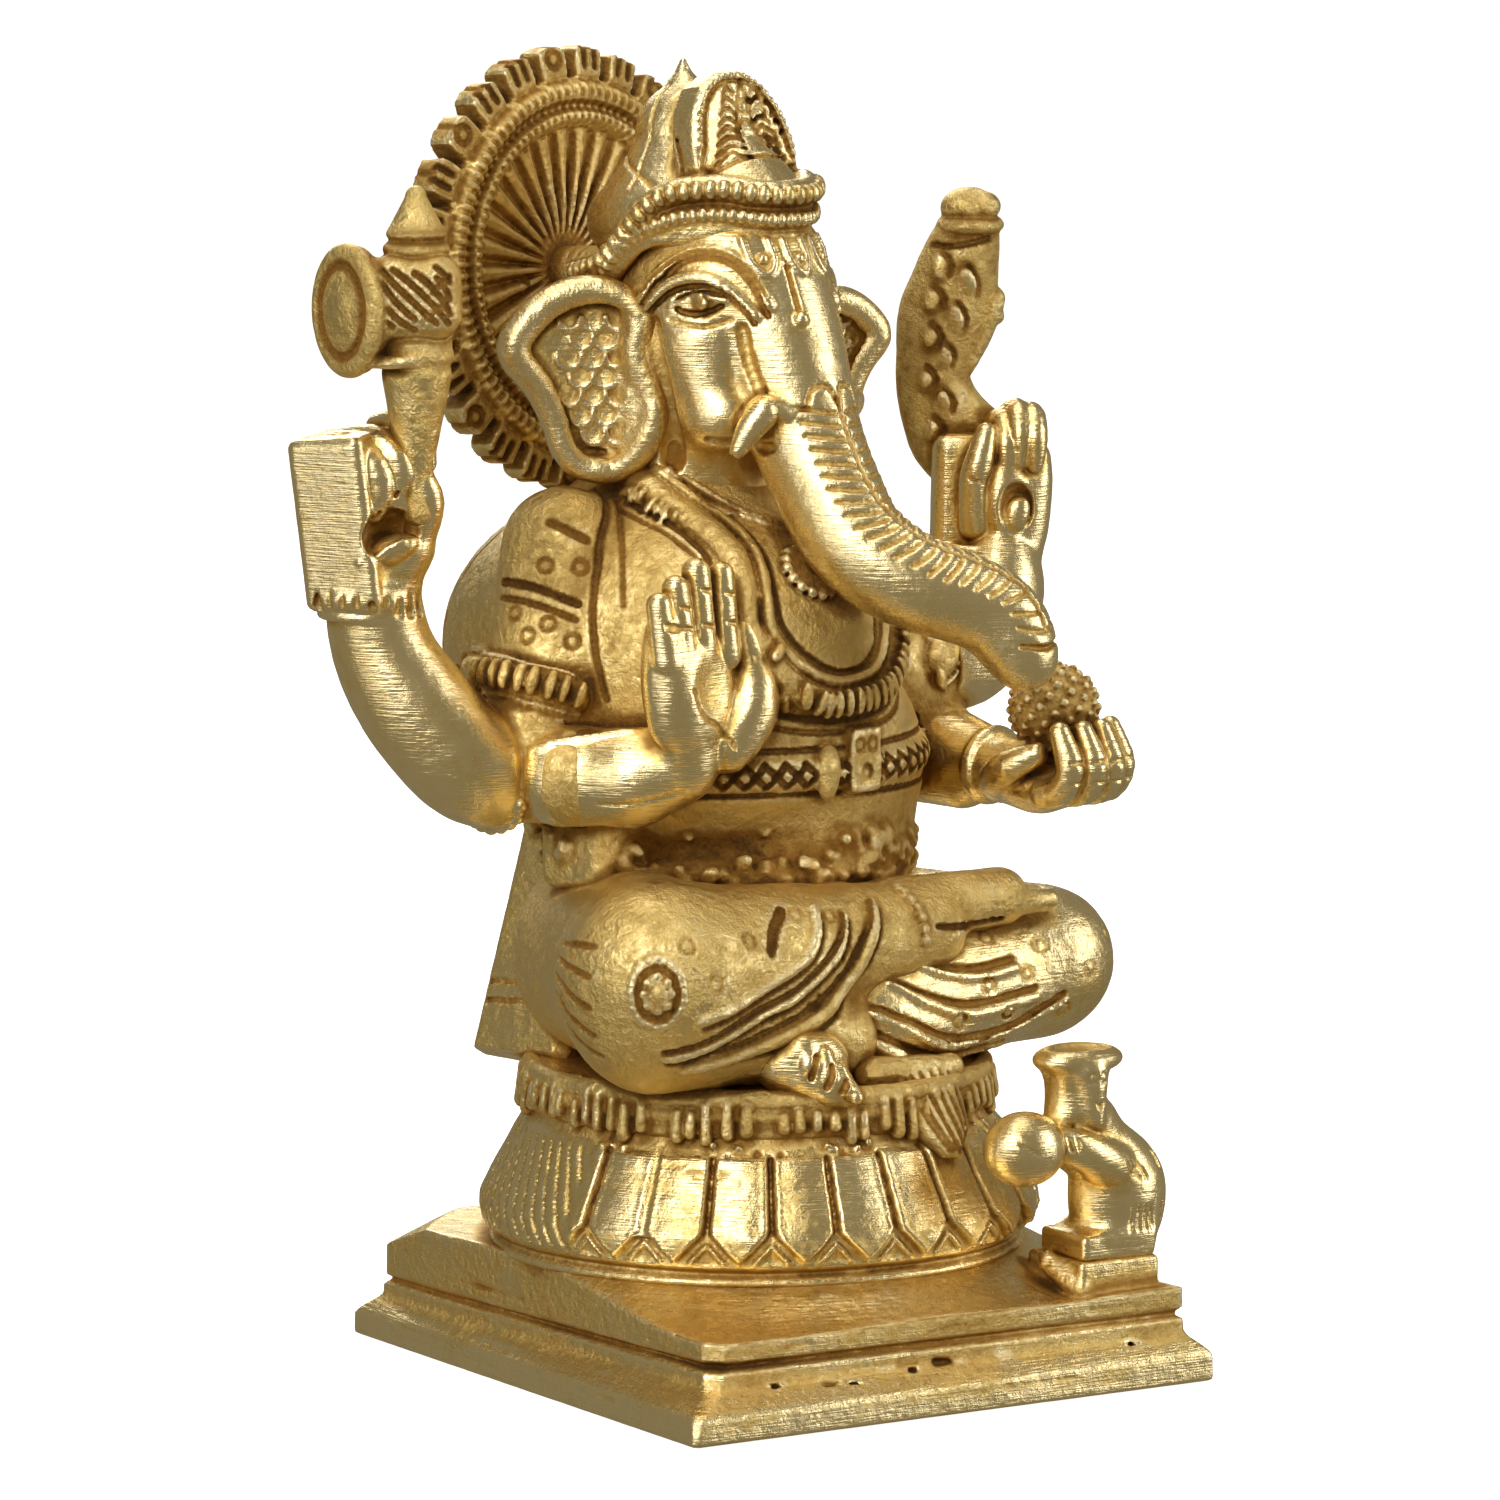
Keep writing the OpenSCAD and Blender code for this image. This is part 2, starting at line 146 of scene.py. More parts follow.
class Clay:
    """A lump of clay: distances to its surface in millimetres on a grid, negative inside."""

    def __init__(self, low, high, cell=None):
        self.cell = cell or CELL
        self.low = np.asarray(low, float) - 3 * self.cell
        self.shape = tuple(int(math.ceil((h - l) / self.cell)) + 7 for l, h in zip(low, high))
        self.field = np.full(self.shape, FAR, np.float32)

    def window(self, low, high):
        """The part of the grid that covers a box: its slices and its three coordinate axes."""
        slices, axes = [], []
        for i in range(3):
            a = max(0, int(math.floor((low[i] - self.low[i]) / self.cell)))
            b = min(self.shape[i], int(math.ceil((high[i] - self.low[i]) / self.cell)) + 1)
            if b <= a:
                return None
            slices.append(slice(a, b))
            line = (self.low[i] + self.cell * np.arange(a, b)).astype(np.float32)
            axes.append(line.reshape([-1 if j == i else 1 for j in range(3)]))
        return tuple(slices), axes

    def whole(self):
        high = self.low + self.cell * (np.array(self.shape) - 1)
        return self.window(self.low, high)

    def work(self, low, high, distance, k=0.0, cut=False, pad=2.5):
        """Adds or cuts the shape whose distance function is given, inside a box."""
        reach = pad + k
        found = self.window(np.asarray(low, float) - reach, np.asarray(high, float) + reach)
        if found is None:
            return self
        slices, (x, y, z) = found
        d = distance(x, y, z)
        f = self.field[slices]
        self.field[slices] = -smooth_low(-f, d, k) if cut else smooth_low(f, d, k)
        return self

    def egg(self, at, radii, axes=None, k=0.0, cut=False, pad=2.5):
        """An ellipsoid, upright or along the given axes."""
        at, radii = np.asarray(at, float), np.asarray(radii, float)
        axes = np.eye(3) if axes is None else axes
        size = np.sqrt(((axes * radii[:, None]) ** 2).sum(0))

        def distance(x, y, z):
            dx, dy, dz = x - at[0], y - at[1], z - at[2]
            near, far = 0.0, 0.0
            for axis, r in zip(axes, radii):
                q = dx * axis[0] + dy * axis[1] + dz * axis[2]
                near = near + (q / r) ** 2
                far = far + (q / r**2) ** 2
            near, far = np.sqrt(near), np.sqrt(far)
            return near * (near - 1) / np.maximum(far, 1e-4)

        return self.work(at - size, at + size, distance, k, cut, pad)

    def ball(self, at, r, k=0.0, cut=False, pad=1.2):
        at = np.asarray(at, float)

        def distance(x, y, z):
            return np.sqrt((x - at[0]) ** 2 + (y - at[1]) ** 2 + (z - at[2]) ** 2) - r

        return self.work(at - r, at + r, distance, k, cut, pad)

    def rod(self, a, b, ra, rb=None, k=0.0, cut=False, pad=1.5, flat=None):
        """A tapered round-ended rod; flat=(direction, factor) thins it across that direction."""
        a, b = np.asarray(a, float), np.asarray(b, float)
        rb = ra if rb is None else rb
        ba = b - a
        long2 = max(float(ba @ ba), 1e-9)
        big = max(ra, rb)

        def distance(x, y, z):
            dx, dy, dz = x - a[0], y - a[1], z - a[2]
            h = np.clip((dx * ba[0] + dy * ba[1] + dz * ba[2]) / long2, 0, 1)
            qx, qy, qz = dx - h * ba[0], dy - h * ba[1], dz - h * ba[2]
            far2 = qx**2 + qy**2 + qz**2
            if flat is not None:
                n, s = unit(flat[0]), flat[1]
                across = qx * n[0] + qy * n[1] + qz * n[2]
                far2 = far2 + (1 / s**2 - 1) * across**2
                r = ra + (rb - ra) * h
                far = np.sqrt(far2)
                return (far - r) * (s + (1 - s) * np.clip(1 - np.abs(across) / (r * s), 0, 1))
            return np.sqrt(far2) - (ra + (rb - ra) * h)

        return self.work(np.minimum(a, b) - big, np.maximum(a, b) + big, distance, k, cut, pad)

    def tube(self, path, radii, k=0.0, cut=False, pad=1.0, flat=None):
        """Rods along a path; radii is one radius or a list spread along it."""
        path = np.asarray(path, float)
        radii = np.atleast_1d(np.asarray(radii, float))
        r = np.interp(np.linspace(0, 1, len(path)), np.linspace(0, 1, len(radii)), radii)
        for i in range(len(path) - 1):
            self.rod(path[i], path[i + 1], r[i], r[i + 1], k, cut, pad, flat)
        return self

    def loop(self, at, big_r, r, axes, k=0.0, cut=False, squash=1.0, pad=1.0):
        """A torus in the plane of the first two axes."""
        at = np.asarray(at, float)
        reach = big_r + r

        def distance(x, y, z):
            dx, dy, dz = x - at[0], y - at[1], z - at[2]
            u, v, w = (dx * m[0] + dy * m[1] + dz * m[2] for m in axes)
            return np.sqrt((np.sqrt(u**2 + (v / squash) ** 2) - big_r) ** 2 + w**2) - r

        return self.work(at - reach, at + reach, distance, k, cut, pad)

    def block(self, at, half, axes=None, r=0.5, k=0.0, cut=False, pad=1.5):
        """A box with rounded edges."""
        at, half = np.asarray(at, float), np.asarray(half, float)
        axes = np.eye(3) if axes is None else axes
        reach = (np.abs(axes) * half[:, None]).sum(0)

        def distance(x, y, z):
            dx, dy, dz = x - at[0], y - at[1], z - at[2]
            out2, inside = 0.0, -1e9
            for axis, h in zip(axes, half):
                q = np.abs(dx * axis[0] + dy * axis[1] + dz * axis[2]) - (h - r)
                out2 = out2 + np.maximum(q, 0) ** 2
                inside = np.maximum(inside, q)
            return np.sqrt(out2) + np.minimum(inside, 0) - r

        return self.work(at - reach, at + reach, distance, k, cut, pad)

    def plate(self, outline, at, axes, thick, r=0.4, bend=None, k=0.0, cut=False, pad=1.5):
        """A flat (u, v) outline given a thickness and bent by bend(u, v) along the third axis."""
        at, outline = np.asarray(at, float), np.asarray(outline, float)
        corners = at + outline @ axes[:2]
        reach = thick + 3

        def distance(x, y, z):
            dx, dy, dz = x - at[0], y - at[1], z - at[2]
            u, v, w = (dx * m[0] + dy * m[1] + dz * m[2] for m in axes)
            far2 = np.full(u.shape, 1e9, np.float32)
            inside = np.zeros(u.shape, bool)
            for i in range(len(outline)):
                (ax, ay), (bx, by) = outline[i], outline[(i + 1) % len(outline)]
                ex, ey = bx - ax, by - ay
                h = np.clip(((u - ax) * ex + (v - ay) * ey) / (ex**2 + ey**2), 0, 1)
                far2 = np.minimum(far2, (u - ax - h * ex) ** 2 + (v - ay - h * ey) ** 2)
                crosses = ((ay <= v) != (by <= v)) & (u < (v - ay) * ex / (ey if ey else 1e-9) + ax)
                inside ^= crosses
            side = np.where(inside, -1, 1) * np.sqrt(far2) + r
            w = w - (bend(u, v) if bend else 0)
            face = np.abs(w) - thick / 2 + r
            corner = np.sqrt(np.maximum(side, 0) ** 2 + np.maximum(face, 0) ** 2)
            return corner + np.minimum(np.maximum(side, face), 0) - r

        return self.work(corners.min(0) - reach, corners.max(0) + reach, distance, k, cut, pad)

    def trim(self, at, direction, k=0.0):
        """Takes away everything beyond a plane."""
        n = unit(direction)
        (x, y, z) = self.whole()[1]
        d = (x - at[0]) * n[0] + (y - at[1]) * n[1] + (z - at[2]) * n[2]
        self.field = -smooth_low(-self.field, -d.astype(np.float32), k)
        return self

    def sample(self, points):
        """The field at any points, FAR outside the grid."""
        q = (np.asarray(points, float) - self.low) / self.cell
        top = np.array(self.shape) - 1.001
        out = ((q < 0) | (q > top)).any(1)
        q = np.clip(q, 0, top)
        i = q.astype(int)
        t = (q - i).astype(np.float32)
        total = np.zeros(len(q), np.float32)
        for corner in range(8):
            c = np.array([corner & 1, corner >> 1 & 1, corner >> 2 & 1])
            weight = np.prod(np.where(c, t, 1 - t), axis=1)
            total += weight * self.field[i[:, 0] + c[0], i[:, 1] + c[1], i[:, 2] + c[2]]
        return np.where(out, FAR, total)

    def slope(self, points):
        """The direction out of the surface at any points."""
        g = np.zeros((len(points), 3))
        for k in range(3):
            step = np.zeros(3)
            step[k] = self.cell
            g[:, k] = self.sample(points + step) - self.sample(points - step)
        return g / np.maximum(np.linalg.norm(g, axis=1, keepdims=True), 1e-6)

    def snap(self, points):
        """The nearest places on the surface, and the directions out of it there."""
        p = np.array(points, float).reshape(-1, 3)
        for _ in range(8):
            f = self.sample(p)
            p -= self.slope(p) * np.clip(f, -1.2, 1.2)[:, None]
        return p, self.slope(p)

    def drape(self, points, direction):
        """Where points shone along a direction land on the surface."""
        d = unit(direction)
        p = np.array(points, float).reshape(-1, 3)
        p = p - d * 26.0
        for _ in range(90):
            f = self.sample(p)
            p += d * np.clip(f, -1.5, 1.5)[:, None] * 0.6
        return p

    def groove(self, points, width=0.5, depth=0.3, k=0.22, step=1.2, closed=False):
        """An engraved line that follows the surface."""
        p, n = self.snap(curve(points, step, closed))
        if closed:
            p, n = np.vstack([p, p[:1]]), np.vstack([n, n[:1]])
        r = width / 2
        return self.tube(p + n * (r - depth), r, k, cut=True)

    def ridge(self, points, width=0.8, height=0.4, k=0.2, step=1.2, closed=False):
        """A raised line that follows the surface."""
        p, n = self.snap(curve(points, step, closed))
        if closed:
            p, n = np.vstack([p, p[:1]]), np.vstack([n, n[:1]])
        r = width / 2
        return self.tube(p - n * (r - height), r, k)

    def beads(self, points, r=0.7, pitch=1.5, sink=0.25, k=0.0, closed=False, stretch=1.0):
        """A row of beads on the surface; stretch widens each bead across the row."""
        p, n = self.snap(curve(points, pitch, closed))
        along = np.gradient(p, axis=0)
        for at, out, run in zip(p, n, along):
            spot = at - out * sink
            if stretch == 1.0:
                self.ball(spot, r, k)
            else:
                self.egg(spot, (r * 0.92, r * stretch, r), axes_for(out, run), k, pad=1.0)
        return self

    def hatch(self, points, reach, pitch, width=0.5, depth=0.35, slant=0.0, closed=False):
        """Short cuts across a line on the surface, like the milling between long beads."""
        p, n = self.snap(curve(points, pitch, closed))
        for i in range(1, len(p) - 1):
            along = unit(p[i + 1] - p[i - 1])
            across = unit(np.cross(n[i], along) + along * slant)
            self.groove([p[i] - across * reach, p[i], p[i] + across * reach], width, depth,
                step=0.45)
        return self

    def dots(self, points, big_r=0.8, r=0.26):
        """Small punched rings, each with a raised middle."""
        p, n = self.snap(points)
        for at, out in zip(p, n):
            self.loop(at, big_r, r, axes_for(out, (0.3, 0.2, 1)), cut=True, pad=0.8)
        return self


CLAYS = []


def sculpt(name, clay, nodes, slot, finish, turned=True, lumps=0.12):
    """Keeps a finished clay for casting: the CAD nodes it stands for, its slot and its finish."""
    CLAYS.append(dict(name=name, clay=clay, nodes=nodes, slot=slot, finish=finish, turned=turned,
        lumps=lumps))
    return clay


# ---------------------------------------------------------------- castings

# The raised hands and what they hold face three quarters outwards.
# SIDE runs across them and AWAY into them.
SIDE = np.array([0.718, -0.696, 0.0])
AWAY = np.array([0.696, 0.718, 0.0])
UP = np.array([0.0, 0.0, 1.0])


def aside(at, rows):
    """Points given as (across, away, up) from a place, in the raised hands' directions."""
    rows = np.asarray(rows, float)
    return np.asarray(at, float) + np.outer(rows[:, 0], SIDE) + np.outer(rows[:, 1],
        AWAY) + np.outer(rows[:, 2], UP)


def ripple(x, y, z, size):
    """A slow, fixed wave between -1 and 1, for hand-made unevenness."""
    return np.sin(x / size + 1.7 * np.sin(z / size)) * np.sin(y / size * 1.1 + 0.8 + np.cos(x / size * 0.7))


def make_plinth():
    low, high = node_low("plinth"), node_high("plinth")
    half = (high - low)[:2] / 2 + (0.6, 0.4)
    clay = Clay(low, high)
    edge, seat = 11.6, SEAT_LOW + 0.6
    heights = [0, 0.6, 3.2, 3.8, 4.4, 5.8, 6.4, 7.9, 8.3, 8.8, 9.3, 30]
    insets = [0.25, 0.0, 0.3, 0.9, 2.2, 5.6, 6.4, 6.5, 8.1, 8.3, 6.9, 7.2]

    def body(x, y, z):
        along = np.maximum(x / half[0], y / half[1])
        narrow = 1 - 0.52 * np.clip((along + 1) / 1.7, 0, 1) ** 0.7
        tall = 1 + 0.12 * np.clip((y / half[1] + 1) / 2, 0,
            1) - 0.04 * np.clip((x / half[0] + 1) / 2, 0, 1)
        inset = np.interp(z * tall, heights, insets).astype(np.float32) * narrow
        wave = 0.16 * ripple(x, y, z * 0.4, 10.0) * np.clip(z / 4, 0, 1)
        left, right = np.abs(x) - half[0] + inset * 0.97, np.abs(y) - half[1] + inset * 0.92
        side = np.maximum(left, right) + wave
        clip = (-x - y - half[0] - half[1] + 1.9 * inset + 0.6 + 0.16 * np.clip(z, 0, 9)) * 0.7
        far = np.sqrt((x - LOTUS[0]) ** 2 + (y - LOTUS[1]) ** 2)
        rear_left = np.clip((y - x - 30) / 25, 0, 1)
        start, end = 34.5 + 9.5 * rear_left, 51 + 1.5 * rear_left
        fall = np.clip((far - start) / (end - start), 0, 1)
        top = seat - (seat - edge) * fall - 1.5 * np.sin(np.pi * fall) * (1 - rear_left) + 0.2 * ripple(x, y, z * 0, 7.0)
        top = top + 0.8 * np.clip((x - 8) / 20, 0, 1) * fall
        return np.maximum(np.maximum(side, clip) * 0.8, (z - top) * 0.9)

    clay.work(low, high, body)
    pin = node_middle("mouse_pin")
    base = node_low("mouse")[2]
    clay.block((pin[0] - 0.4, pin[1] + 2, base - 4.3), (6.2, 6.4, 4.3), r=0.7, k=1.0)
    for step in range(5):
        clay.egg((pin[0] - 6.2 - 0.25 * step, pin[1] - 3.6 + 1.5 * step, 12.6 + 0.8 * step),
            (1.3, 1.3, 1.6), k=0.8)
    clay.block((0, 0, 3), (half[0] - 8, half[1] - 8, 4.4), r=1.2, cut=True)
    clay.rod((0, 0, 8), (0, 0, -2), 8.0)
    clay.trim((0, 0, 0.02), UP * -1)
    # Casting flaws and long file marks
    rng = np.random.default_rng(8)
    front, left = low[1], low[0]
    for _ in range(16):
        at = (rng.uniform(-30, 34), front + rng.uniform(2, 5), rng.uniform(4, 8))
        clay.rod(at, (at[0] + rng.uniform(0.5, 3), at[1], at[2] + rng.uniform(-0.3, 0.3)), 0.55,
            0.3, cut=True, pad=0.8)
    for _ in range(12):
        y, z = rng.uniform(-36, 30), rng.choice([1.8, 2.6, 5.0, 10.4])
        clay.groove([(left, y, z), (left, y + rng.uniform(4, 16), z + 0.1)], 0.4, 0.16)
    for _ in range(9):
        x, z = rng.uniform(-34, 26), rng.choice([1.7, 2.7, 10.6])
        clay.groove([(x, front, z), (x + rng.uniform(4, 14), front, z + 0.1)], 0.4, 0.14)
    sculpt("plinth_casting", clay, ["plinth"], "brass_plinth", "filed", turned=False, lumps=0.07)


PETALS = 27
GROOVE_AT = -1.1
MERGED_AT = GROOVE_AT - 5 * 360 / PETALS


def make_lotus():
    low = np.array([-LOTUS_R - 1, -LOTUS_R - 1, SEAT_LOW - 0.3])
    high = np.array([LOTUS_R + 1, LOTUS_R + 1, SEAT_TOP])
    clay = Clay(low, high)
    heights = [0, SEAT_LOW, 16.2, 16.9, 17.5, 18.2, 19.0, 20.6, 22.2, 25.0, 28.0, 30.8, 32.4, 33.2,
        34.6, 60]
    radii = [35.2, 35.4, 35.7, 35.0, 34.8, 35.9, 36.7, 37.0, 36.9, 35.5, 33.8, 32.3, 31.3, 30.8,
        30.2, 30.2]
    step = 360 / PETALS

    def drum(x, y, z):
        r = np.sqrt(x**2 + y**2)
        turn = np.degrees(np.arctan2(x, -y))
        across = np.abs((turn - GROOVE_AT + step / 2) % step - step / 2) * math.radians(1) * 36.0
        crest = 0.45 * np.clip(1 - (across - 4.2) ** 2 / 18, 0, 1)
        zone = np.clip((z - 18.5) / 0.5, 0, 1) * np.clip((32.2 - z) / 0.7, 0, 1)
        fork = np.clip((22.8 - z) / 4.0, 0, 1) * 3.9
        merged = (np.abs(turn - MERGED_AT) < step / 2) & (z > 22.0)
        depth = np.where(merged, 0.12, 1.05)
        slot = np.clip((0.55 + fork - across) / 0.4, 0, 1) * depth
        chevron = 0.75 * np.clip(1 - np.abs(across - (21.2 - z) * 0.95) / 0.5, 0, 1) * (z < 21.6)
        lip = 0.25 * np.clip(1 - np.abs(across - fork - 0.95) / 0.4, 0, 1)
        carved = zone * (crest + lip - slot * (1.0 - chevron))
        lean = (turn + 0.9 * (z - 20) + 1.8) % 3.8 - 1.9
        scored = -0.4 * zone * np.clip((0.42 - np.abs(lean) * math.radians(1) * 36) / 0.3, 0, 1)
        front = np.clip((84 - np.abs(turn - GROOVE_AT + 2)) / 3, 0, 1)
        wide = np.interp(z, heights,
            radii).astype(np.float32) + front * carved + (1 - front) * scored
        return (r - wide - 0.2 * ripple(x, y, z, 6.0)) * 0.8

    clay.work(low, high, drum)
    rng = np.random.default_rng(5)
    for _ in range(46):
        t, z = math.radians(rng.uniform(-84, 70)), rng.uniform(31.2, 33.4)
        clay.ball((31.4 * math.sin(t), -31.4 * math.cos(t), z), rng.uniform(0.3, 0.6), k=0.3,
            cut=rng.uniform() < 0.5)
    for t_deg, z, length in ((-60, 30.4, 9), (-58, 29.6, 6), (-66, 31.2, 5), (-20, 17.2, 12),
            (-35, 16.6, 10)):
        path = arc((0, 0, z), 33.5, t_deg - 90, t_deg - 90 + length, count=6)
        clay.groove(path, 0.5, 0.2)
    clay.trim((0, 0, SEAT_TOP), UP)
    clay.trim((0, 0, SEAT_LOW - 0.2), UP * -1)
    sculpt("lotus_casting", clay, ["lotus_seat"], "brass_figure", "lotus", lumps=0.1)


def make_bead_ring():
    clay = Clay((-34, -34, 32), (34, 34, SEAT_TOP), FINE)
    rng = np.random.default_rng(4)
    count = 84
    clay.loop((0, 0, 39.0), 29.8, 1.4, np.eye(3), k=0.6)
    clay.loop((0, 0, 35.0), 29.6, 1.3, np.eye(3), k=0.5)
    clay.loop((0, 0, 37.0), 29.8, 1.3, np.eye(3), k=0.5)
    for i in range(count):
        t = 2 * math.pi * (i + rng.uniform(-0.22, 0.22)) / count
        out = np.array([math.sin(t), -math.cos(t), 0])
        if rng.uniform() < 0.06:
            continue
        foot, top = 34.7 + rng.uniform(-1.0, 1.3), 38.0 + rng.uniform(-1.1, 0.9)
        r = rng.uniform(0.85, 1.15)
        clay.rod(out * 31.1 + UP * foot, out * 30.9 + UP * top, r, r * 0.8, k=0.35)
    sculpt("bead_ring_strip", clay, ["seat_bead_ring"], "brass_dark", "rough", lumps=0.22)


def make_back_slab():
    bottom, top = SEAT_TOP - 2.2, 69.0
    clay = Clay((-23, 13, bottom), (23, 38, top))

    def slab(x, y, z):
        t = np.clip((z - bottom) / (top - bottom), 0, 1)
        wide, back = 21.5 - 5.7 * t, 34.9 - 4.6 * t
        side = np.abs(x) - wide - 0.15 * ripple(x, y, z, 8.0)
        face = np.maximum(y - back, 15.6 - y)
        front_bevel = (np.abs(x) - wide + (17.2 + 0.6 * t - y) * 0.9) * 0.74
        back_bevel = (np.abs(x) - wide + (y - back + 2.2)) * 0.7
        foot = bottom - z + 0.55 * np.clip(np.abs(x) - 17, 0, 9)
        return highest(side, face, front_bevel, back_bevel, z - top, foot) * 0.9

    clay.work((-23, 13, bottom), (23, 38, top), slab)
    for z in (46.6, 49.2):
        for side in (-1, 1):
            clay.groove([(side * 19.2, 17, z + 0.4), (side * 19.4, 24, z),
                (side * 19.0, 33, z - 0.9)], 0.6, 0.4)
        clay.groove([(-17, 34, z - 1), (0, 34.4, z - 1.2), (17, 34, z - 1)], 0.6, 0.4)
    sculpt("back_slab_casting", clay, ["back_slab"], "brass_figure", "filed")


HALO_TURN = math.radians(3)
HALO_LEAN = 0.06
HALO_R = 29.7
HALO_BLOCKS = 26
HALO_RAYS = 30


def make_halo():
    across = np.array([math.cos(HALO_TURN), math.sin(HALO_TURN), 0])
    rise = unit((0, HALO_LEAN, 1))
    ahead = np.cross(across, rise)
    middle = np.array([-0.5, 33.2, 142.5])
    reach = np.array([32, 9, 32])
    clay = Clay(middle - reach, middle + reach, FINE)
    face_r = [0, 3, 12, 18.4, 19.0, 19.8, 20.6, 21.3, 21.9, 22.6, 23.5, 24.4, 25.1, 26, 29, 32]
    face_w = [-3.2, -2.9, -1.9, -1.0, 0.0, 0.9, 0.9, 0.0, 0.0, 1.0, 1.2, 0.9, -0.1, 0.2, -0.2, -1.2]

    def dish(x, y, z):
        dx, dy, dz = x - middle[0], y - middle[1], z - middle[2]
        u = dx * across[0] + dy * across[1]
        v = dy * rise[1] + dz * rise[2]
        w = dx * ahead[0] + dy * ahead[1] + dz * ahead[2]
        r = np.sqrt(u**2 + v**2)
        turn = np.degrees(np.arctan2(v, u))
        ray = np.abs((turn * HALO_RAYS / 360 + 0.5) % 1 - 0.5)
        front = np.interp(r, face_r, face_w).astype(np.float32)
        inside = np.clip((r - 3) / 5, 0, 1) * np.clip((18.8 - r) / 0.6, 0, 1)
        front = front + inside * (0.95 * np.sqrt(np.clip(1 - ray / 0.3, 0,
            1)) - 0.45 * np.clip((ray - 0.3) / 0.2, 0, 1))
        rope = 0.28 * np.cos(np.radians(turn) * 96) * ((r > 19.2) & (r < 24.8))
        part = (turn * HALO_BLOCKS / 360 + 0.5) % 1 - 0.5
        arc_mm = np.abs(part) * 2 * math.pi * 28.4 / HALO_BLOCKS
        notch = np.clip((arc_mm - 2.35) / 0.8, 0, 1)
        rim = HALO_R - 0.10 * arc_mm**2 - 3.1 * notch
        front = front + rope - 1.4 * notch * (r > 25.4)
        back = -w - 4.4 + 0.8 * np.clip((r - 28) / 3, 0, 1)
        return highest(w - front, back, r - rim) * 0.8

    clay.work(middle - reach, middle + reach, dish)
    for i in range(HALO_BLOCKS):
        t = 2 * math.pi * i / HALO_BLOCKS
        out = across * math.cos(t) + rise * math.sin(t)
        along = rise * math.cos(t) - across * math.sin(t)
        spot = middle + out * 28.0
        if i % 3 == 1:
            clay.dots([spot], 1.15, 0.42)
        else:
            for shift in (-1.0, 0.9):
                clay.groove([spot + along * shift - out * 1.2,
                    spot + along * shift + out * 2.2 - ahead], 0.8, 0.6)
        clay.groove([spot + out * 2.2 - ahead * 0.6, spot + out * 2.2 - ahead * 3.6], 0.7, 0.35)
    for i in range(9):
        t, r = 2.4 * i, 4 + 1.2 * i
        clay.ball(middle + across * r * math.cos(t) + rise * r * math.sin(t) - ahead * 2, 0.7,
            k=0.3, cut=True)
    sculpt("halo_plate", clay, ["halo"], "brass_dark", "halo", lumps=0.16)
    stud = Clay(middle - (6, 15, 6), middle + (6, 4, 6))
    stud.rod(middle + ahead * -3.2, middle + ahead * 10, 2.9)
    sculpt("halo_stud_pin", stud, ["halo_stud"], "brass_plain", "rough")


def around(rx, ry, z, y=10.5, count=40, dip=0.0):
    """A level loop round the body; dip lowers its front."""
    turns = np.linspace(0, 2 * math.pi, count, endpoint=False)
    return [(rx * math.cos(t), y + ry * math.sin(t),
        z - dip * max(0.0, -math.sin(t))) for t in turns]


